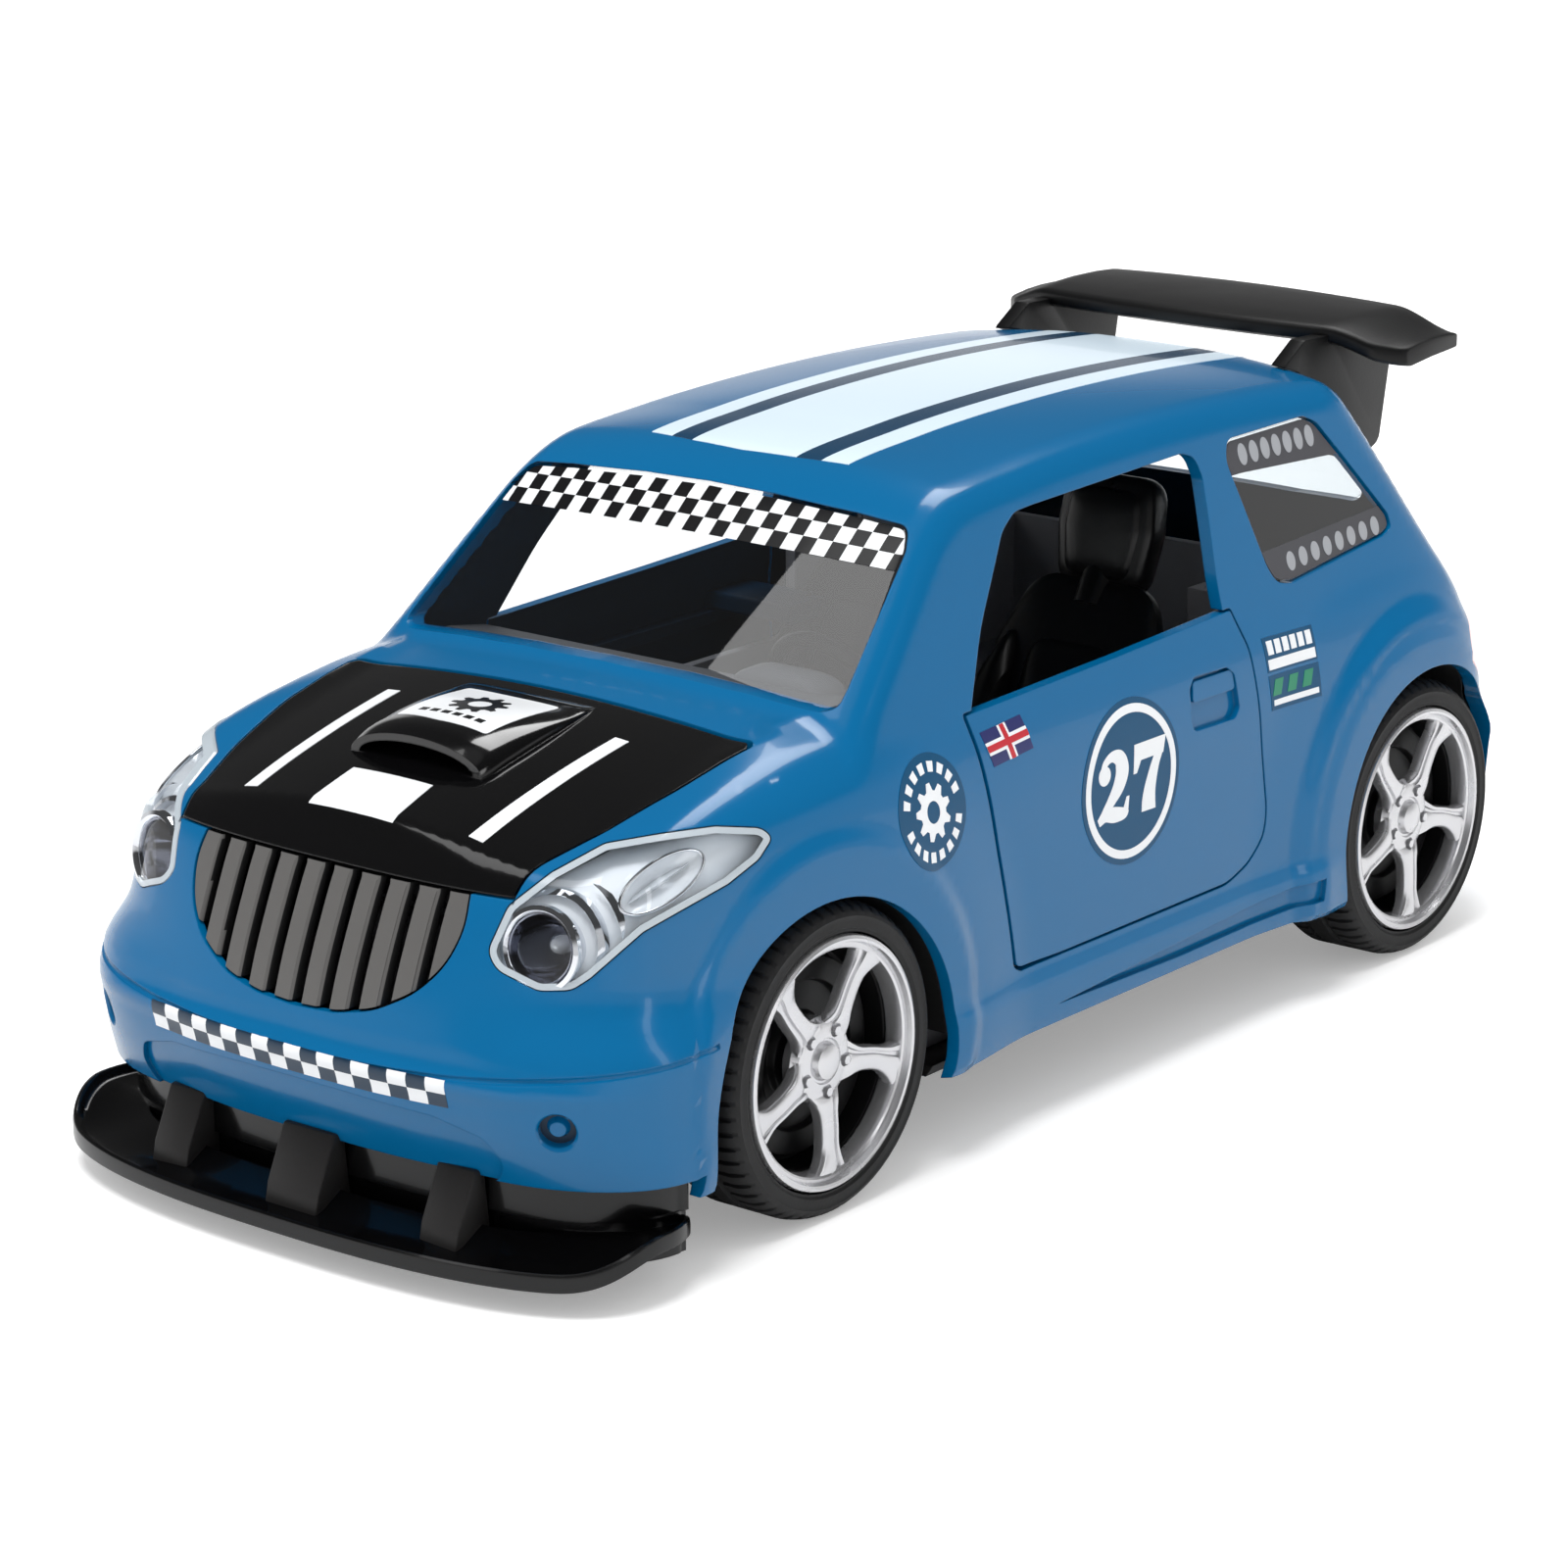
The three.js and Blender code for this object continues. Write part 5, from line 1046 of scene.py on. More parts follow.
refl = cut(refl, loft([[q for q in r] for r in ([sig_c + sig_u * a * s + sig_v * b * s + sig_n * h for a, b in oval(6.3, 2.35, 48, 2.0)] for s, h in ((0.9, -2.6), (0.95, -1.0), (1.0, 0.2), (1.05, 3.0)))]))
dish = signal_bowl(1.0, -1.7, -0.25)
dish = fuse(dish, loft([[sig_c + sig_u * a + sig_v * b + sig_n * z for a, b, z in ((t, -w, -2.0), (t, 0, -0.5), (t, w, -2.0))] for t, w in ((-4.6, 0.25), (-3.0, 0.5), (0.0, 0.6), (3.0, 0.5), (4.6, 0.25))]))
sig_ring = tube([sig_c + sig_u * a + sig_v * b + sig_n * -0.1 for a, b in oval(6.25, 2.3, 64, 2.0)], 0.22, 8, True)
for sgn, side in ((1, "left"), (-1, "right")):
    f = (lambda m: m) if sgn > 0 else flip
    place(f"headlight_cover_{side}", f(lens.copy()), [lamp_clear], "car", f"headlight_lens_{side}", "lamp_clear", "skins")
    # the lens edge bead is real shape; its light colour is a painted highlight
    place(f"headlight_cover_edge_{side}", f(flange.copy()), [lens_edge_painted_highlight], "car", (), "lamp_clear", "skins")
    place(f"headlight_housing_{side}", f(refl.copy()), [lamp_pale], "car", f"headlight_reflector_{side}", "chrome", "skins")
    o = bowl_face - BOWL_D * 4.0
    rim1 = lathe([(3.85, 0.6), (4.2, 0.6), (4.2, 3.4), (4.5, 3.6), (4.95, 4.1), (4.85, 4.75), (4.35, 4.95), (4.0, 4.7), (3.85, 4.2)], 80, o, BOWL_D)
    arcs = []
    for r0, h0, off in ((5.7, 3.9, (0.4, 0.2, 0.4)), (7.1, 3.7, (1.0, 0.6, 1.0)), (8.7, 3.4, (1.8, 1.0, 1.7))):
        arcs.append(lathe([(r0 - 0.35, h0 - 3.2), (r0 + 0.3, h0 - 3.2), (r0 + 0.42, h0 - 0.3), (r0 + 0.3, h0), (r0 + 0.02, h0 + 0.1), (r0 - 0.25, h0 - 0.15)], 96, o + np.array(off), BOWL_D))
    room = keep(cut(skin(-0.98, 2.0, COARSE), skin(-4.6, 2.0, COARSE)), cut(lamp_cut(-0.9), bonnet_room))
    collar = joined(*[q for q in (keep(m, room) for m in arcs) if len(q.polygons)])
    bowl = lathe([(0, -1.4), (1.3, -1.3), (2.15, -0.7), (2.95, 0.5), (3.45, 1.9), (3.75, 3.6), (3.9, 3.6), (3.9, -2.0), (0, -2.0)], 80, o, BOWL_D)
    ring = lathe([(3.3, 2.9), (3.9, 3.3), (3.9, 4.3), (3.75, 4.35), (3.35, 3.45)], 80, o, BOWL_D)
    bulb = lathe([(0, -1.5), (1.0, -1.4), (1.05, -0.1), (0.8, 0.9), (0.4, 1.4), (0, 1.55)], 32, o, BOWL_D)
    place(f"headlight_rim_{side}", f(rim1), [chrome], "car", (), "chrome", 40)
    place(f"headlight_collar_{side}", f(collar), [chrome], "car", (), "chrome", 40)
    # the bowl and ring take the darker chrome, a painted dark reflection
    place(f"headlight_bowl_{side}", f(bowl), [bowl_chrome_painted_dark_reflection], "car", (), "chrome", 40)
    place(f"headlight_ring_{side}", f(ring), [bowl_chrome_painted_dark_reflection], "car", (), "trim_black", 40)
    place(f"headlight_bulb_{side}", f(bulb), [lamp_silver], "car", (), "chrome", 60)
    place(f"signal_dish_{side}", f(dish.copy()), [lamp_silver], "car", (), "chrome", 35)
    place(f"signal_ring_{side}", f(sig_ring.copy()), [chrome], "car", (), "chrome", 50)

tail_pane = keep(cut(skin(-0.02, 2.0, FINE), skin(-1.3, 2.0, COARSE)), tail_cut(-0.3))
tail_back = keep(cut(skin(-2.0, 2.0, COARSE), skin(-3.4, 2.0, COARSE)), tail_cut(-0.8))
ribs = [prism([(a - 0.28, -8), (a + 0.28, -8), (a + 0.28, 8), (a - 0.28, 8)], TAIL_U, Z, TAIL_W, -14, 14, TAIL_O) for a in np.arange(-6.0, 6.1, 1.2)]
tail_back = cut(tail_back, rod((20, 126.3, 18.5), (62, 126.3, 18.5), 22.1, 96), *[cut(r, skin(-2.4, 2.0, COARSE)) for r in ribs])
for sgn, side in ((1, "left"), (-1, "right")):
    f = (lambda m: m) if sgn > 0 else flip
    place(f"tail_lamp_cover_{side}", f(tail_pane.copy()), [tail_clear], "car", f"tail_light_{side}", "tail_clear", "skins")
    place(f"tail_lamp_reflector_{side}", f(tail_back.copy()), [rim_silver], "car", (), "chrome", 30)

# ------------------------------------------------------------------ wheel-house liners
def liner(cy, cz, r, zlow):
    """Half drum over a wheel, inside the shell."""
    m = cut(rod((22.6, cy, cz), (60, cy, cz), r + 1.2, 96), rod((20, cy, cz), (62, cy, cz), r + 0.15, 96))
    return keep(m, skin(-1.9, 2.0, COARSE), box(20, 62, cy - 40, cy + 40, zlow, 60))


for end, lm in (("front", liner(-0.3, 15.5, 22.4, 16.0)), ("rear", liner(126.3, 18.5, 20.7, 16.0))):
    place(f"wheel_liner_{end}_left", lm.copy(), [black_matte], "car", (), "trim_black", 35)
    place(f"wheel_liner_{end}_right", flip(lm), [black_matte], "car", (), "trim_black", 35)

# ------------------------------------------------------------------ splitter
def splitter_path(k):
    t = (k - 0.5) * 2
    s, u = math.copysign(1, t), abs(t)
    a = math.radians((u / 0.86) * 90 if u < 0.86 else 90)
    if u < 0.86:
        return s * 44.0 * math.sin(a) ** (2 / 2.55), -32 - 17 * max(math.cos(a), 0) ** (2 / 2.55)
    q = (u - 0.86) / 0.14
    return s * (44 - 4.2 * q * q), -32 + q * 9.5


sections = []
for i in range(121):
    x, y = splitter_path(i / 120)
    ax = abs(x)
    lift = 3.3 * float(ss(33, 44, ax)) * float(ss(-44, -33, y))
    cx, cy = x * 0.78, -30 + (y + 30) * (0.62 if y < -30 else 1)
    tip = min(1.0, min(i, 120 - i) / 6.0)
    tip = math.sqrt(max(1 - (1 - tip) ** 2, 0.0)) * 0.88 + 0.12
    mx_, my_ = (x + cx) / 2, (y + cy) / 2
    ring = []
    for t, z in ((0, 3.15), (0, 4.5), (0.012, 4.95), (0.05, 5.2), (0.10, 5.0), (0.14, 4.6), (0.2, 4.5), (0.6, 5.3), (1, 6.9), (1, 2.8), (0.6, 2.9), (0.05, 2.95)):
        hx, hy, hz = x + (cx - x) * t, y + (cy - y) * t, z + lift * (1 - 0.75 * t)
        ring.append((mx_ + (hx - mx_) * (0.35 + 0.65 * tip), my_ + (hy - my_) * (0.35 + 0.65 * tip), 3.4 + (hz - 3.4) * (0.45 + 0.55 * tip)))
    sections.append(ring)
splitter = loft(sections)


def plan(z, lv, ya, yb, n):
    ys = np.linspace(ya, yb, 400)
    P = np.stack([np.zeros(400), ys, np.full(400, z)], 1)
    ins = F(P[:, 0], P[:, 1], P[:, 2], 2.0) < lv
    y0, y1 = ys[ins][0], ys[ins][-1]
    u = 0.5 - 0.5 * np.cos(np.pi * np.linspace(0, 1, n + 1))
    yy = y0 + (y1 - y0) * u
    Q = cast(np.stack([np.zeros(n + 1), yy, np.full(n + 1, z)], 1), np.tile([1.0, 0, 0], (n + 1, 1)), lv, 2.0, 60)
    half = [(0 if q[0] < 0.05 else q[0], q[1]) for q in Q]
    return mirrored(half)


tray_wall = fuse(*[cut(prism_z(plan(zz, -0.5 - dd, -60, -25.0, 40), z0, z1), prism_z(plan(zz, -2.6 - dd, -60, -20, 40), z0 - 1, z1 + 1)) for zz, dd, z0, z1 in ((8, 0.5, 3.4, 8.4), (11, 1.3, 8.3, 13.0))])
splitter = fuse(splitter, tray_wall)
tray_black = material("tray_gloss_plastic", (0.02, 0.02, 0.023), 0.16, coat=0.25, coat_rough=0.04, spec=0.35, rough_var=0.04, var_scale=60, bump=0.02, bump_scale=300, edge=0.25)
place("front_splitter_lip", splitter, [tray_black], "car", "front_splitter", "gloss_black", 35)


def strut(x, w, y, yt, zt=13.0):
    side = [(y - 0.6, 4.3), (y, 7.2), (yt, zt), (yt + 1.6, zt), (yt + 2.6, 4.3)]
    top = prism_x(side, x - w / 2, x + w / 2)
    return bevelled(top, 0.3, 2)


struts = joined(strut(0, 8.0, -45.4, -42.5, 13.6), strut(-20.9, 5.6, -43.8, -40.9, 13.4), strut(20.9, 5.6, -43.8, -40.9, 13.4))
strut_black = material("strut_satin_plastic", (0.13, 0.125, 0.125), 0.42, spec=0.4, var=0.05, var_scale=140, rough_var=0.05, bump=0.06, bump_scale=2400, edge=0.25)
place("front_splitter_struts", struts, [strut_black], "car", (), "trim_black", 30)

# ------------------------------------------------------------------ wing
sections = []
for i in range(81):
    x = -32.3 + 64.6 * i / 80
    u = abs(x) / 32.3
    le = 125.4 + 6.2 * u * u + (max(u - 0.9, 0)) * 24
    te = 147.2 - 0.5 * u * u
    zt = 82.3 - 0.9 * u * u - 2.3 * float(ss(0.7, 1.0, u))
    ring = []
    for t, dz in ((0, -1.7), (0, -0.35), (0.02, -0.02), (0.07, 0.18), (0.3, 0.55), (0.55, 0.72), (0.8, 0.68), (0.95, 0.52), (0.99, 0.35), (1, 0.1), (1, -1.2), (0.985, -1.4), (0.9, -1.5), (0.5, -1.8), (0.1, -2.3), (0.05, -2.2)):
        ring.append((x, le + (te - le) * t, zt + dz))
    sections.append(ring)
wing = bevelled(loft(sections), 0.25, 2, 40)
place("rear_wing_blade", wing, [black_satin], "car", "rear_wing", "gloss_black", 35)
UP = fillet([(118.0, 78.0), (123, 81.0), (145.2, 80.4), (142.0, 64.6), (137.0, 62.5), (126, 66), (120, 74)], [1, 1, 1.5, 2, 2, 3, 3])
upr = cut(prism_x(UP, 21.2, 23.4), skin(0.25, 2.0, COARSE), loft(sections))
upr = bevelled(upr, 0.3, 2, 40)
place("wing_support_left", upr.copy(), [black_satin], "car", "wing_upright_left", "gloss_black", 35)
place("wing_support_right", flip(upr), [black_satin], "car", "wing_upright_right", "gloss_black", 35)

# ------------------------------------------------------------------ wheels
BLOCKS = 60
TREAD = [(0.0, 0), (0.10, 0), (0.18, 1), (0.82, 1), (0.90, 0)]


def tyre():
    pr = [(15.25, WIN + 0.6), (15.9, WIN + 0.1), (17.2, WIN), (17.9, WIN + 0.5), (18.25, WIN + 1.2), (18.6, WIN + 2.0), (18.6, WIN + 3.6), (18.15, WIN + 3.8), (18.15, WIN + 4.4), (18.6, WIN + 4.6), (18.6, WX - 5.6), (18.15, WX - 5.4), (18.15, WX - 4.8), (18.6, WX - 4.6), (18.6, WX - 2.6), (18.38, WX - 1.7), (18.05, WX - 1.0), (17.6, WX - 0.5), (17.1, WX - 0.24), (16.85, WX - 0.34), (16.4, WX - 0.3), (15.8, WX - 0.28), (15.5, WX - 0.5), (15.25, WX - 0.5)]
    blocky = {3: 0.3, 4: 0.45, 5: 0.5, 6: 0.5, 13: 0.5, 14: 0.5, 15: 0.34, 16: 0.16}
    frac, dep = [t[0] for t in TREAD], [t[1] for t in TREAD]
    ang = np.array([(b + f) * 2 * np.pi / BLOCKS for b in range(BLOCKS) for f in frac])
    low = np.array([1 - d for b in range(BLOCKS) for d in dep], float)
    V = []
    for k, (r, a) in enumerate(pr):
        rr = r - blocky.get(k, 0) * low
        V.append(np.stack([np.full(len(ang), a), rr * np.cos(ang), rr * np.sin(ang)], 1))
    return loft(V, True)


def spoke(theta0):
    rs = np.concatenate([np.linspace(2.6, 12.0, 14), [12.8, 13.5, 14.0]])
    sec = []
    for r in rs:
        q = (r - 2.6) / 11.0
        th = theta0 + math.radians(4.0 * math.sin(math.pi * min(q, 1)) - 1.0 * q)
        w = 1.42 + 1.6 * math.exp(-((r - 2.6) / 2.3) ** 2) + 2.0 * max(0, (r - 9.8) / 4.2) ** 2.2
        top = 40.0 + 0.75 * float(ss(3, 5.5, r)) + 0.35 * float(ss(10, 13, r))
        c, s = math.cos(th), math.sin(th)
        ring = []
        for t, h in ((-1.0, -1.6), (-1.0, -0.5), (-0.92, -0.18), (-0.75, 0.0), (0.1, 0.06), (0.32, -0.04), (0.40, -0.38), (0.58, -0.38), (0.66, -0.1), (0.9, -0.1), (1.0, -0.4), (1.0, -1.6)):
            o = t * w
            ring.append((top + h, r * c - o * s, r * s + o * c))
        ring = [(min(max(p[0], 38.6), 42), p[1], p[2]) for p in ring]
        sec.append(ring)
    return loft(sec)


def rim():
    lip = lathe([(13.15, 38.9), (15.0, 38.9), (15.0, 41.5), (14.85, 41.9), (14.5, 42.05), (14.2, 41.95), (14.05, 41.55), (13.95, 41.25), (13.6, 41.3), (13.35, 41.15), (13.15, 40.5)], 120)
    centre = lathe([(0, 38.0), (4.9, 38.0), (5.1, 39.2), (4.6, 40.1), (3.9, 40.35), (2.75, 40.4), (2.6, 40.15), (2.35, 40.15), (2.2, 40.5), (2.0, 40.95), (1.3, 41.25), (0, 41.35)], 60)
    r = fuse(lip, centre)
    for i in range(5):
        a = i * 2 * math.pi / 5 + math.radians(56)
        r = fuse(r, spoke(a))
    for i in range(5):
        a = i * 2 * math.pi / 5 + math.radians(56 + 4)
        c = np.array([0, 3.75 * math.cos(a), 3.75 * math.sin(a)])
        r = cut(r, rod(c + (39.9, 0, 0), c + (43, 0, 0), 0.8, 20, 1.0))
        r = fuse(r, rod(c + (39.2, 0, 0), c + (40.75, 0, 0), 0.55, 6))
    return r


def hub():
    return lathe([(0, WIN + 1.8), (0, 35.6), (3.2, 35.8), (3.6, 36.8), (4.8, 36.8), (5.2, 36.0), (8.6, 36.0), (8.9, 37.0), (11.6, 37.0), (12.0, 35.4), (12.6, 35.4), (13.0, 38.7), (14.95, 38.7), (14.95, WIN + 1.8), (12.6, WIN + 1.8), (12.2, 32.6), (4.4, 32.6), (4.2, WIN + 1.8)], 90)


caliper = keep(box(35.9, 38.0, -11.4, -6.6, -5.5, 5.5), rod((35, 0, 0), (39, 0, 0), 12.2, 60))
caliper = bevelled(cut(caliper, rod((35, 0, 0), (39, 0, 0), 8.0, 60)), 0.4, 2)
TYRE, RIM, HUB = tyre(), rim(), fuse(hub(), caliper)
for end, y in (("front", 0.0), ("rear", WHEELBASE)):
    for side in ("left", "right"):
        for kind, base, mat, sl, deg in (("tyre", TYRE, rubber, "tyre", 28), ("rim", RIM, rim_silver, "chrome", 38), ("hub", HUB, black_satin, "trim_black", 35)):
            m = base.copy()
            if side == "right":
                m = flip(m)
            m.transform(Matrix.Translation((0, y, TYRE_R)))
            place(f"{end}_{side}_{kind}_skin", m, [mat], f"{end}_wheels", f"{end}_{side}_{kind}", sl, deg)


# ------------------------------------------------------------------ cabin
def pad(outline, O, U, V, N, front, back, p=3.0, rings=9):
    """A crowned closed form over a flat outline: front and back are how far it swells along N and against it."""
    pts = np.array(outline, float)
    c = pts.mean(0)
    U, V, N, O = (np.array(a, float) for a in (U, V, N, O))
    sec = []
    for t in np.radians(np.linspace(-88, 88, 2 * rings + 1)):
        s = math.cos(t) ** (2 / p)
        h = math.copysign(abs(math.sin(t)) ** (2 / p), t) * (front if t > 0 else back)
        q = c + (pts - c) * s
        sec.append(O + q[:, :1] * U + q[:, 1:] * V + N * h)
    return loft(sec)


def seat(x):
    lean = math.radians(-25)
    U = np.array([1.0, 0, 0])
    V = np.array([0, -math.sin(lean), math.cos(lean)])
    N = np.array([0, -math.cos(lean), -math.sin(lean)])
    hl = math.radians(-12)
    HV, HN = np.array([0, -math.sin(hl), math.cos(hl)]), np.array([0, -math.cos(hl), -math.sin(hl)])
    parts = []
    back = fillet([(-9.4, 0), (-11.8, 16), (-12.9, 31), (-9.0, 41.0), (9.0, 41.0), (12.9, 31), (11.8, 16), (9.4, 0)], [2, 8, 7, 6, 6, 7, 8, 2], 6)
    parts.append(pad(back, (x, 69.6, 17.6), U, V, N, 2.4, 2.6, 3.2))
    mid = fillet([(-6.0, 3), (-6.6, 18), (-6.2, 33), (6.2, 33), (6.6, 18), (6.0, 3)], 3, 5)
    parts.append(pad(mid, (x, 68.0, 17.6), U, V, N, 2.3, 1.0, 3.0))
    for s in (-1, 1):
        bol = fillet([(s * 7.0, 3.0), (s * 7.8, 28), (s * 9.4, 34.5), (s * 12.2, 28), (s * 11.8, 10), (s * 9.8, 3)], 1.5, 5)
        parts.append(pad(bol, (x, 68.6, 17.6), U, V, N, 4.4, 1.6, 2.6))
        thigh = fillet([(s * 6.8, 52), (s * 6.8, 66), (s * 9.8, 66), (s * 10.0, 52.5)], 1.4, 5)
        parts.append(pad(thigh, (x, 0, 20.2), X, Y, Z, 3.4, 4.0, 2.8))
    cush = fillet([(-9.2, 50.4), (-9.7, 68), (9.7, 68), (9.2, 50.4)], [3, 1.5, 1.5, 3], 6)
    parts.append(pad(cush, (x, 0, 18.4), X, Y, Z, 3.2, 4.6, 3.2))
    hr = fillet([(-6.3, -8.6), (-7.5, -0.5), (-6.8, 6.4), (6.8, 6.4), (7.5, -0.5), (6.3, -8.6)], [3, 6, 3.4, 3.4, 6, 3], 7)
    parts.append(pad(hr, (x, 89.4, 61.6), U, HV, HN, 2.4, 3.0, 4.0))
    hf = fillet([(-4.9, -7.0), (-5.9, -0.5), (-5.4, 5.0), (5.4, 5.0), (5.9, -0.5), (4.9, -7.0)], [2.4, 5, 2.6, 2.6, 5, 2.4], 6)
    parts.append(pad(hf, (x, 88.2, 61.6), U, HV, HN, 1.9, 1.5, 3.4))
    parts.append(rod((x, 85.0, 51.5), (x, 89.2, 58.5), 2.4, 20))
    return fuse(parts[0], *parts[1:])


for sx, side in ((16.5, "left"), (-16.5, "right")):
    place(f"seat_{side}_shape", seat(sx), [seat_black], "car", f"seat_{side}", "trim_black", 28)

SW = np.array([14.5, 29.9, 48.6])
SWD = np.array([0, 0.906, 0.423])
SWU = np.array([1.0, 0, 0])
SWV = np.array([0, -0.423, 0.906])


def sw_at(t, u=0.0, v=0.0):
    return SW + SWD * t + SWU * u + SWV * v


ang = np.linspace(0, 2 * np.pi, 73)[:-1]
wheel = tube([sw_at(4.4, 8.0 * math.cos(a), 8.0 * math.sin(a)) for a in ang], 1.0, 14, True)
boss = fuse(rod(sw_at(1.8), sw_at(4.9), 2.4, 32, 2.0), rod(sw_at(-3.6), sw_at(2.4), 1.0, 24))
for a in (0.0, math.pi, -math.pi / 2):
    boss = fuse(boss, tube([sw_at(4.0 + 0.4 * q, 8.0 * q * math.cos(a), 8.0 * q * math.sin(a)) for q in np.linspace(0.0, 1.0, 8)], [1.1, 1.05, 0.95, 0.85, 0.8, 0.8, 0.85, 0.95], 12))
wheel = fuse(wheel, boss)
place("steering_wheel_shape", wheel, [black_satin], "steering_wheel", "steering_wheel", "trim_black", 40)

INSIDE = skin(-2.1, 2.0, COARSE)
DASH = fillet([(6.0, 44), (6.0, 50.2), (12.0, 53.8), (18, 54.6), (25.5, 53.3), (29.2, 50.5), (27.2, 46.4), (25.6, 40.5), (25.4, 36.4), (12.8, 36.4), (12.8, 44)], [0, 1, 3, 6, 3, 2, 2, 2, 1, 0.5, 0.5])
dash = keep(prism_x(DASH, -33.2, 33.2), INSIDE)
dash = cut(dash, box(-60, 60, 0, 60, 56.2, 90))
cowl = pad(fillet([(-7, 22.3), (-7.4, 28.8), (7.4, 28.8), (7, 22.3)], 2, 6), (14.5, 0, 52.2), X, Y, Z, 3.2, 2.0, 2.6)
dash = fuse(dash, keep(cowl, INSIDE), rod(sw_at(-5), sw_at(1.4), 2.4, 24))
dash = cut(dash, rod(sw_at(-4.2), sw_at(2), 1.06, 24))
vents = [bevelled(box(a, b, 26.0, 31, 41.5, 45.0), 0.4, 2) for a, b in ((-28, -21), (-4.5, 4.0))]
dash_grey = material("dashboard_grain_plastic", (0.36, 0.36, 0.375), 0.55, var=0.06, var_scale=140, bump=0.12, bump_scale=2600)
place("dashboard_shape", cut(dash, *vents), [dash_grey], "car", "dashboard", "trim_black", 30)

# ------------------------------------------------------------------ prints, as thin foils that follow the surface
FOIL = cut(skin(0.06, 2.0, FINE), skin(-0.01, 2.0, FINE))
FOIL2 = cut(skin(0.11, 2.0, FINE), skin(0.055, 2.0, FINE))


def region(foil, b):
    return keep(foil, box(*b))


def foil_piece(name, me, mat, body, slot, levels=None):
    me.materials.clear()
    me.materials.append(mat)
    skin_normals(me)
    return place(name, me, [mat], body, (), slot)


def discs(c, r, n=72):
    a = np.arange(n) * 2 * np.pi / n
    return np.stack([c[0] + r * np.cos(a), c[1] + r * np.sin(a)], 1)


def ring_cut(c, r0, r1, mk_prism):
    return cut(mk_prism(discs(c, r1)), mk_prism(discs(c, r0)))


roof_foil = region(FOIL, (-20, 20, 30, 128, 70, 90))
centre = keep(roof_foil, prism_z([(-8.1, 35.4), (0, 34.9), (8.1, 35.4), (8.1, 124.0), (-8.1, 124.0)], 60, 90))
foil_piece("roof_stripe_middle", centre, pale_print, "car", "body_blue")
dark = [prism_z([(s * 8.1, 35.4), (s * 11.6, 35.8), (s * 11.6, 123.8), (s * 8.1, 124.0)], 60, 90) for s in (-1, 1)]
foil_piece("roof_stripe_dark", keep(roof_foil, joined(*dark)), navy_print, "car", "body_blue")
outer_st = [prism_z([(s * 11.6, 35.8), (s * 15.3, 36.3), (s * 15.3, 123.4), (s * 11.6, 123.8)], 60, 90) for s in (-1, 1)]
foil_piece("roof_stripe_outer", keep(roof_foil, joined(*outer_st)), pale_print, "car", "body_blue")

# checker strip on the bumper
strip_foil = region(FOIL, (-24, 24, -60, -30, 20, 26))
cells = {0: [], 1: []}
NC, X0S, X1S = 18, -22.6, 22.6
for i in range(NC):
    a, b = X0S + (X1S - X0S) * i / NC, X0S + (X1S - X0S) * (i + 1) / NC
    for j in range(2):
        z0, z1 = (21.35, 23.0) if j == 0 else (23.0, 24.65)
        e = 0.0
        cells[(i + j) % 2].append(prism_y([(a + e, z0 - 0.0), (b - e, z0), (b - e, z1), (a + e, z1)], -60, -30))
for k, (nm, mt) in enumerate((("bumper_checker_light", white_print), ("bumper_checker_dark", slate_print))):
    cc = [modified(c, ("WELD", {"merge_threshold": 1e-6})) for c in cells[k]]
    out = joined(*[keep(strip_foil, c) for c in cc])
    foil_piece(nm, out, mt, "car", "body_blue")

# bonnet marks
bon_foil = region(FOIL, (-30, 30, -40, -1.5, 44.4, 70))
rect = prism_z([(-6.5, -34.3), (6.4, -34.3), (5.8, -27.0), (-6.4, -27.0)], 40, 70)
lines = [prism_z([(s * 16.2, -32.6), (s * 18.3, -32.6), (s * 18.6, -8.2), (s * 16.6, -8.2)], 40, 70) for s in (-1, 1)]
foil_piece("bonnet_marks", keep(bon_foil, joined(rect, *lines)), white_print, "bonnet", "gloss_black")


def sheet(xs, ys, fz, t0, t1):
    """A thin closed sheet over a grid, between fz+t0 and fz+t1."""
    A, B = np.meshgrid(xs, ys, indexing="ij")
    Zz = fz(A.ravel(), B.ravel())
    n, m = len(xs), len(ys)
    V = np.vstack([np.stack([A.ravel(), B.ravel(), Zz + t0], 1), np.stack([A.ravel(), B.ravel(), Zz + t1], 1)])
    q = n * m
    fs = []
    for i in range(n - 1):
        for j in range(m - 1):
            a, b, c, d = i * m + j, (i + 1) * m + j, (i + 1) * m + j + 1, i * m + j + 1
            fs += [[d, c, b, a], [a + q, b + q, c + q, d + q]]
    for i in range(n - 1):
        a, b = i * m, (i + 1) * m
        fs.append([a, b, b + q, a + q])
        a, b = i * m + m - 1, (i + 1) * m + m - 1
        fs.append([b, a, a + q, b + q])
    for j in range(m - 1):
        fs.append([j + 1, j, j + q, j + 1 + q])
        a = (n - 1) * m + j
        fs.append([a, a + 1, a + 1 + q, a + q])
    return orient(mk(V, fs))


label = sheet(np.linspace(-7.2, 7.2, 40), np.linspace(-20.5, -6.2, 30), scoop_z, -0.02, 0.05)
label = keep(label, prism_z(fillet([(-6.9, -19.3), (0, -20.1), (6.9, -19.3), (7.1, -6.8), (-7.1, -6.8)], [0.6, 8, 0.6, 0.6, 0.6]), 40, 80))
place("scoop_label", label, [white_print], "bonnet", (), "gloss_black", 40)


def cog(c, r0, r1, n, hole):
    pts = []
    for i in range(n):
        for f, r in ((0.0, r0), (0.22, r1), (0.5, r1), (0.72, r0)):
            a = 2 * math.pi * (i + f) / n
            pts.append((c[0] + r * math.cos(a), c[1] + r * math.sin(a)))
    return pts


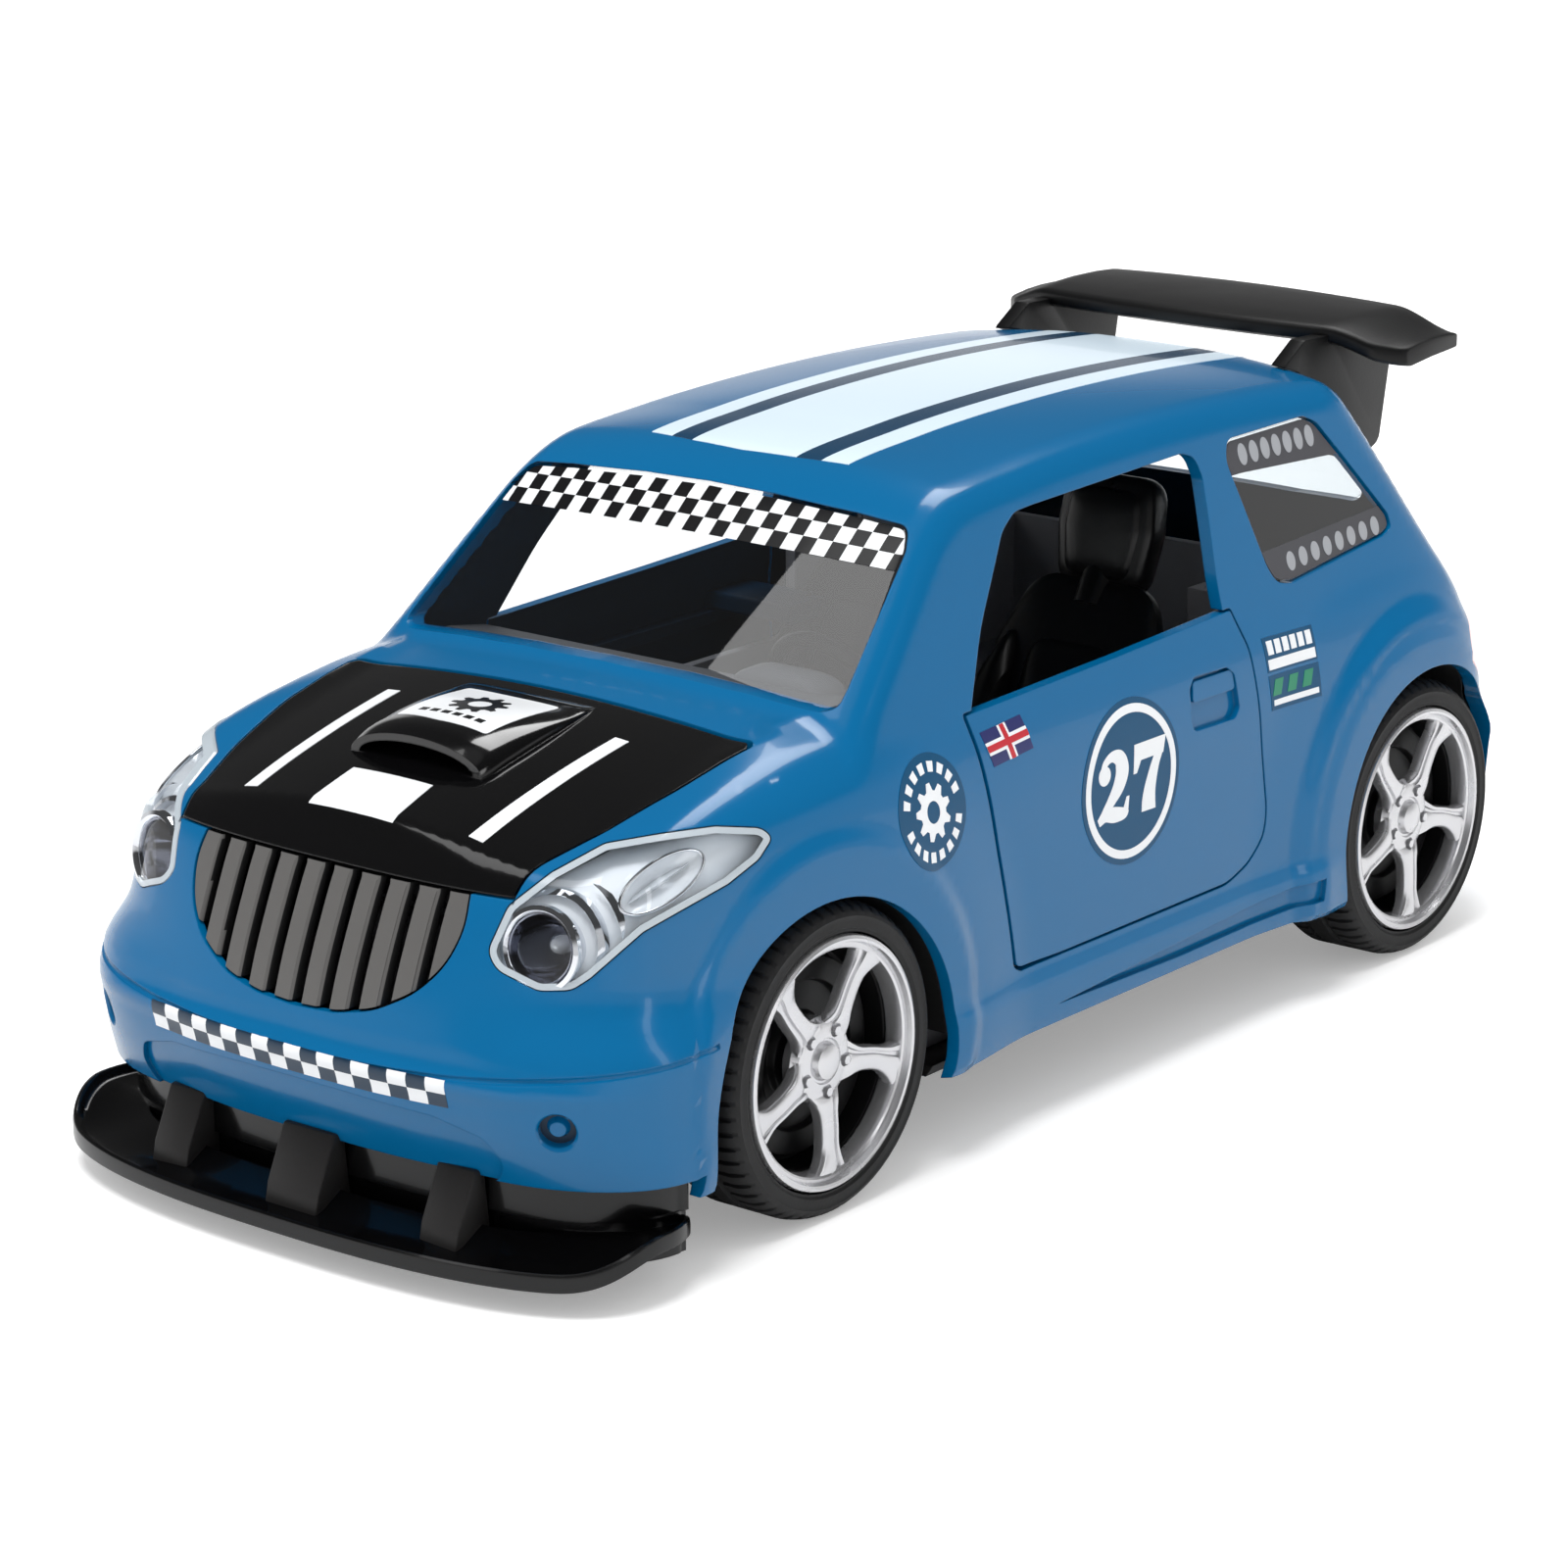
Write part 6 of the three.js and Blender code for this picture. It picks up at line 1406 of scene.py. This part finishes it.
mark = sheet(np.linspace(-6.5, 6.5, 36), np.linspace(-19.4, -7.0, 30), scoop_z, 0.04, 0.09)
cogp = cut(prism_z(cog((0, -12.6), 2.7, 3.6, 10, 1.4), 40, 80), prism_z(discs((0, -12.6), 1.4, 32), 40, 80))
bars = [prism_z([(a, -17.9), (a + 1.1, -17.9), (a + 1.1, -17.0), (a, -17.0)], 40, 80) for a in np.arange(-4.7, 4.0, 1.7)]
place("scoop_label_mark", joined(keep(mark, cogp), *[keep(mark, b) for b in bars]), [black_print], "bonnet", (), "gloss_black", 40)

# windscreen banner
SCREEN_FOIL = region(cut(skin(-0.29, 2.0, FINE), skin(-0.36, 2.0, FINE)), (-34, 34, 20, 40, 68, 78))
SCREEN_FOIL = keep(SCREEN_FOIL, prism_y(grow(F_SCREEN, -0.5), -6, 45))


def row_z(j, x):
    """Lower edge of checker row j, counted down from the top of the glass."""
    top = 75.0 - 0.9 * (abs(x) / 30) ** 2
    return top - 1.52 * j


NB, HB = 30, 31.4
banner = {0: [], 1: []}
for i in range(NB):
    a, b = -HB + 2 * HB * i / NB, -HB + 2 * HB * (i + 1) / NB
    for j in range(3):
        banner[(i + j) % 2].append(prism_y([(a, row_z(j + 1, a)), (b, row_z(j + 1, b)), (b, row_z(j, b)), (a, row_z(j, a))], 0, 45))
for k, (nm, mt) in enumerate((("screen_banner_light", white_print), ("screen_banner_dark", black_print))):
    out = joined(*[q for q in (keep(SCREEN_FOIL, c) for c in banner[k]) if len(q.polygons)])
    foil_piece(nm, out, mt, "car", "clear", (-0.29, -0.36))

# door roundel with a race number, and the other stickers on the left; the right side mirrors them
door_foil = region(FOIL, (30, 50, 30, 90, 20, 53))
door_foil2 = region(FOIL2, (30, 50, 45, 75, 25, 53))
RC = (59.9, 38.2)


def ribbon(path, widths, n=10):
    P = np.array(path, float)
    t = np.arange(len(P))
    q = np.linspace(0, len(P) - 1, (len(P) - 1) * n + 1)
    sx, sy, sw = tab(t, P[:, 0]), tab(t, P[:, 1]), tab(t, widths)
    C = np.stack([sx(q), sy(q)], 1)
    T = np.gradient(C, axis=0)
    T /= np.linalg.norm(T, axis=1, keepdims=True)
    Nn = np.stack([-T[:, 1], T[:, 0]], 1)
    w = sw(q)[:, None] / 2
    return np.vstack([C + Nn * w, (C - Nn * w)[::-1]])


def number_polys(flip_y):
    two = [ribbon([(-6.2, 2.0), (-5.7, 3.3), (-4.2, 4.0), (-2.6, 3.5), (-2.0, 1.9), (-2.7, 0.1), (-4.2, -1.5), (-5.7, -2.8), (-6.6, -3.9)], [0.9, 1.0, 1.3, 2.2, 2.7, 2.4, 1.7, 1.2, 1.0]),
           discs((-5.75, 1.9), 1.25, 28),
           ribbon([(-7.0, -3.9), (-5.5, -3.2), (-3.6, -3.5), (-1.6, -3.7), (-0.9, -3.2)], [1.0, 1.7, 2.0, 1.5, 0.9]),
           np.array([(-1.9, -3.6), (-0.75, -3.9), (-0.45, -1.7), (-1.0, -1.7)])]
    seven = [np.array([(1.2, 2.3), (6.9, 2.3), (7.5, 4.5), (0.9, 4.5)]),
             np.array([(0.45, 0.8), (1.15, 0.8), (2.1, 2.4), (1.9, 4.5), (0.7, 4.5)]),
             ribbon([(6.6, 3.4), (5.2, 1.3), (4.2, -1.2), (3.8, -3.0), (3.75, -4.5)], [1.3, 1.7, 2.3, 2.8, 3.0])]
    s = -1 if flip_y else 1
    return [np.array([(RC[0] + s * p[0] * 0.98, RC[1] + p[1] * 0.98) for p in poly]) for poly in two + seven]


px_prism = lambda pts: prism_x(pts, 30, 60)
disc = keep(door_foil, px_prism(discs(RC, 10.3, 96)))
white_ring = keep(door_foil2, ring_cut(RC, 8.5, 9.55, px_prism))
digits = {s: [px_prism(p) for p in number_polys(s)] for s in (False, True)}
digit_mesh = {s: keep(door_foil2, fuse(d[0], *d[1:])) for s, d in digits.items()}
FLAG = [(30.9, 50.3), (39.0, 50.8), (40.4, 46.6), (32.5, 46.0)]


def lerp_quad(q, u0, u1, v0, v1):
    q = np.array(q, float)
    f = lambda u, v: q[0] * (1 - u) * (1 - v) + q[1] * u * (1 - v) + q[2] * u * v + q[3] * (1 - u) * v
    return [f(u0, v0), f(u1, v0), f(u1, v1), f(u0, v1)]


flag_base = keep(door_foil, px_prism(FLAG))
flag_foil2 = region(FOIL2, (30, 50, 28, 44, 44, 53))
flag_w = keep(flag_foil2, fuse(px_prism(lerp_quad(FLAG, 0.40, 0.60, 0, 1)), px_prism(lerp_quad(FLAG, 0, 1, 0.32, 0.68))))
FOIL3 = region(cut(skin(0.15, 2.0, FINE), skin(0.105, 2.0, FINE)), (30, 50, 28, 44, 44, 53))
flag_r = keep(FOIL3, fuse(px_prism(lerp_quad(FLAG, 0.45, 0.55, 0, 1)), px_prism(lerp_quad(FLAG, 0, 1, 0.41, 0.59))))

badge_foil = region(FOIL, (30, 50, 10, 28, 35, 53))
badge_foil2 = region(FOIL2, (30, 50, 10, 28, 35, 53))
BC = (19.6, 43.6)
badge = keep(badge_foil, px_prism(discs(BC, 6.7, 72)))
bcog = cut(px_prism(cog(BC, 2.5, 3.4, 9, 1.3)), px_prism(discs(BC, 1.3, 32)))
ticks = []
for k in range(18):
    if k in (0, 9):
        continue
    a0, a1 = 2 * math.pi * (k - 0.28) / 18, 2 * math.pi * (k + 0.28) / 18
    ticks.append(px_prism([(BC[0] + r * math.cos(a), BC[1] + r * math.sin(a)) for r, a in ((4.6, a0), (5.8, a0), (5.8, a1), (4.6, a1))]))
badge_w = keep(badge_foil2, joined(bcog, *ticks))

Q = [(90.1, 49.8), (101.5, 49.4), (102.0, 40.2), (91.1, 40.4)]
quarter_foil = region(FOIL, (30, 50, 88, 104, 38, 52))
quarter_foil2 = region(FOIL2, (30, 50, 88, 104, 38, 52))
qbase = keep(quarter_foil, joined(px_prism(lerp_quad(Q, 0, 1, 0, 0.47)), px_prism(lerp_quad(Q, 0, 1, 0.52, 1))))
qwhite = keep(quarter_foil2, joined(px_prism(lerp_quad(Q, 0.03, 0.97, 0.30, 0.44)), px_prism(lerp_quad(Q, 0.05, 0.95, 0.86, 0.94)), *[px_prism(lerp_quad(Q, a, a + 0.11, 0.05, 0.24)) for a in np.arange(0.06, 0.9, 0.155)]))
qgreen = keep(quarter_foil2, joined(*[px_prism([p + np.array(o) for p, o in zip(lerp_quad(Q, a, a + 0.17, 0.58, 0.80), ((0.6, 0), (0.6, 0), (-0.3, 0), (-0.3, 0)))]) for a in (0.06, 0.36, 0.66)]))

pane_foil = region(cut(skin(-0.29, 2.0, FINE), skin(-0.36, 2.0, FINE)), (28, 45, 88, 128, 52, 78))
PF = grow(F_REAR_SIDE, -0.45)
pane_foil = keep(pane_foil, prism_x(PF, 24, 60))
band_t = keep(pane_foil, px_prism([(85, 69.6), (94, 69.6), (119, 68.3), (130, 68.3), (130, 80), (85, 80)]))
band_b = keep(pane_foil, px_prism([(90, 50), (90, 59.4), (97, 59.6), (124, 60.6), (132, 60.6), (132, 50)]))
pane_foil2 = region(cut(skin(-0.24, 2.0, FINE), skin(-0.295, 2.0, FINE)), (28, 45, 88, 128, 52, 78))
ovals = [px_prism(np.array(oval(0.95, 1.35, 24, 2.0)) + (95.2 + 2.57 * i, 71.75 - 0.03 * i)) for i in range(7)]
ovals += [px_prism(np.array(oval(0.95, 1.2, 24, 2.0)) + (100.7 + 2.91 * i, 57.5 + 0.12 * i)) for i in range(8)]
dots = keep(pane_foil2, joined(*ovals))

for sgn, side in ((1, "left"), (-1, "right")):
    f = (lambda m: m.copy()) if sgn > 0 else flip
    d = f"door_{side}"
    foil_piece(f"roundel_disc_{side}", f(disc), disc_print, d, "body_blue")
    foil_piece(f"roundel_ring_{side}", f(white_ring), white_print, d, "body_blue")
    foil_piece(f"race_number_{side}", f(digit_mesh[sgn < 0]), white_print, d, "body_blue")
    foil_piece(f"door_sticker_field_{side}", f(flag_base), flag_blue, d, "body_blue")
    foil_piece(f"door_sticker_white_{side}", f(flag_w), white_print, d, "body_blue")
    foil_piece(f"door_sticker_red_{side}", f(flag_r), red_print, d, "body_blue", (0.15, 0.105))
    foil_piece(f"wing_badge_{side}", f(badge), disc_print, "car", "body_blue")
    foil_piece(f"wing_badge_mark_{side}", f(badge_w), white_print, "car", "body_blue")
    foil_piece(f"quarter_sticker_{side}", f(qbase), disc_print, "car", "body_blue")
    foil_piece(f"quarter_sticker_white_{side}", f(qwhite), white_print, "car", "body_blue")
    foil_piece(f"quarter_sticker_green_{side}", f(qgreen), green_print, "car", "body_blue")
    foil_piece(f"side_pane_band_top_{side}", f(band_t), grey_print, "car", "clear", (-0.29, -0.36))
    foil_piece(f"side_pane_band_low_{side}", f(band_b), grey_print, "car", "clear", (-0.29, -0.36))
    foil_piece(f"side_pane_dots_{side}", f(dots), dot_print, "car", "clear", (-0.24, -0.295))

# ------------------------------------------------------------------ carried-over CAD nodes
tub_grey = material("grey_cabin_plastic", (0.54, 0.54, 0.56), 0.5, var=0.05, var_scale=120, bump=0.06, bump_scale=1800, edge=0.3)
engine_grey = material("engine_grey_plastic", (0.27, 0.27, 0.28), 0.42, var=0.06, var_scale=160, rough_var=0.06, bump=0.06, bump_scale=2200, edge=0.25)
CARRIED = {
    "chassis_plate": black_matte, "interior_tub": tub_grey, "engine_bay": engine_grey, "motor_case_lower": black_matte, "motor_case_upper": black_matte,
    "axle_pinion": gear_white, "intermediate_gear": gear_white, "spring_gear": gear_white,
}
for n, ob in frame["nodes"].items():
    if ob.hide_render:
        continue
    m = CARRIED.get(n, steel if any(k in n for k in ("pin", "shaft", "screw", "axle", "spring")) else black_matte)
    ob.data.materials.clear()
    ob.data.materials.append(m)
    for p in ob.data.polygons:
        p.material_index = 0

# ------------------------------------------------------------------ floor, light and camera
floor_mat = material("pale_floor", (0.95, 0.95, 0.95), 0.55, var=0.004, var_scale=4)
fb = floor_mat.node_tree.nodes["Principled BSDF"]
fb.inputs["Emission Color"].default_value = (1, 1, 1, 1)
flp = floor_mat.node_tree.nodes.new("ShaderNodeLightPath")
fm = floor_mat.node_tree.nodes.new("ShaderNodeMath")
fm.operation = "MULTIPLY"
fm.inputs[1].default_value = 0.28
floor_mat.node_tree.links.new(flp.outputs["Is Camera Ray"], fm.inputs[0])
floor_mat.node_tree.links.new(fm.outputs[0], fb.inputs["Emission Strength"])
fl = mk([(-9000, -9000, 0), (9000, -9000, 0), (9000, 9000, 0), (-9000, 9000, 0)], [[0, 1, 2, 3]])
fl.materials.append(floor_mat)
fl.transform(Matrix.Diagonal((MM, MM, MM, 1)))
floor = bpy.data.objects.new("floor", fl)
bpy.context.scene.collection.objects.link(floor)

world = bpy.data.worlds.new("studio")
bpy.context.scene.world = world
world.use_nodes = True
wt = world.node_tree
bg = wt.nodes["Background"]
bg.inputs["Color"].default_value = (1, 1, 1, 1)


def math_node(op, a, b):
    n = wt.nodes.new("ShaderNodeMath")
    n.operation = op
    for k, v in enumerate((a, b)):
        if isinstance(v, (int, float)):
            n.inputs[k].default_value = v
        else:
            wt.links.new(v, n.inputs[k])
    return n.outputs[0]


def ramp(v, a, b, c, d):
    n = wt.nodes.new("ShaderNodeMapRange")
    n.interpolation_type = "SMOOTHSTEP"
    for k, x in zip(("From Min", "From Max", "To Min", "To Max"), (a, b, c, d)):
        n.inputs[k].default_value = x
    wt.links.new(v, n.inputs["Value"])
    return n.outputs["Result"]


tc = wt.nodes.new("ShaderNodeTexCoord")
sep = wt.nodes.new("ShaderNodeSeparateXYZ")
wt.links.new(tc.outputs["Generated"], sep.inputs[0])
lp = wt.nodes.new("ShaderNodeLightPath")
horizon = math_node("MULTIPLY", ramp(sep.outputs["Z"], 0.12, 0.30, 0.72, 0.07), ramp(sep.outputs["X"], 0.3, 0.8, 1.0, 0.75))
glossy = math_node("ADD", horizon, ramp(sep.outputs["Z"], 0.93, 0.99, 0.0, 0.2))
diffuse = 0.86
g = lp.outputs["Is Glossy Ray"]
other = math_node("ADD", math_node("MULTIPLY", glossy, g), math_node("MULTIPLY", math_node("SUBTRACT", 1.0, g), diffuse))
c = lp.outputs["Is Camera Ray"]
strength = math_node("ADD", c, math_node("MULTIPLY", other, math_node("SUBTRACT", 1.0, c)))
wt.links.new(strength, bg.inputs["Strength"])


def area(name, loc, target, sx, sy, power):
    li = bpy.data.lights.new(name, "AREA")
    li.shape = "RECTANGLE"
    li.size, li.size_y, li.energy = sx, sy, power
    ob = bpy.data.objects.new(name, li)
    ob.location = loc
    ob.rotation_mode = "QUATERNION"
    ob.rotation_quaternion = (Vector(target) - Vector(loc)).to_track_quat("-Z", "Y")
    bpy.context.scene.collection.objects.link(ob)
    return ob


def panel(name, d, dist, sx, sy, radiance):
    """A soft panel that only shows as a reflection, at distance dist in direction d from the object."""
    d = Vector(d).normalized() * dist
    ob = area(name, (d[0], d[1], d[2] + 0.03), (0, 0, 0.03), sx, sy, math.pi * sx * sy * radiance)
    ob.visible_diffuse = False
    ob.visible_camera = False
    return ob


sun = bpy.data.lights.new("sun", "SUN")
sun.energy = 1.9
sun.angle = math.radians(24)
sun_ob = bpy.data.objects.new("sun", sun)
sun_ob.rotation_mode = "QUATERNION"
sun_ob.rotation_quaternion = Vector((-0.02, 0.22, -0.97)).to_track_quat("-Z", "Y")
sun_ob.visible_glossy = False
bpy.context.scene.collection.objects.link(sun_ob)
panel("overhead_panel", (-0.12, 0.50, 0.86), 1.0, 0.42, 0.42, 6.5)
panel("screen_panel", (-0.33, -0.28, 0.89), 1.0, 0.30, 0.50, 1.9)
panel("side_panel", (0.92, 0.10, 0.42), 1.0, 0.12, 0.7, 2.8)

cam_data = bpy.data.cameras.new("camera")
cam_data.sensor_width = 36
cam_data.lens = 4982.6 * 36 / 1600
cam_data.clip_start, cam_data.clip_end = 0.01, 60
cam = bpy.data.objects.new("camera", cam_data)
bpy.context.scene.collection.objects.link(cam)
yaw, pitch, roll = math.radians(38.77), math.radians(16.0), math.radians(-0.16)
fwd = np.array([-math.sin(yaw) * math.cos(pitch), math.cos(yaw) * math.cos(pitch), -math.sin(pitch)])
right = np.array([math.cos(yaw), math.sin(yaw), 0])
up = np.cross(right, fwd)
r2 = math.cos(roll) * right + math.sin(roll) * up
u2 = -math.sin(roll) * right + math.cos(roll) * up
cam.matrix_world = Matrix(((r2[0], u2[0], -fwd[0], 0.36506), (r2[1], u2[1], -fwd[1], -0.41162 + Y0 * MM), (r2[2], u2[2], -fwd[2], 0.20168), (0, 0, 0, 1)))
bpy.context.scene.camera = cam
bpy.context.scene.view_settings.view_transform = "Standard"
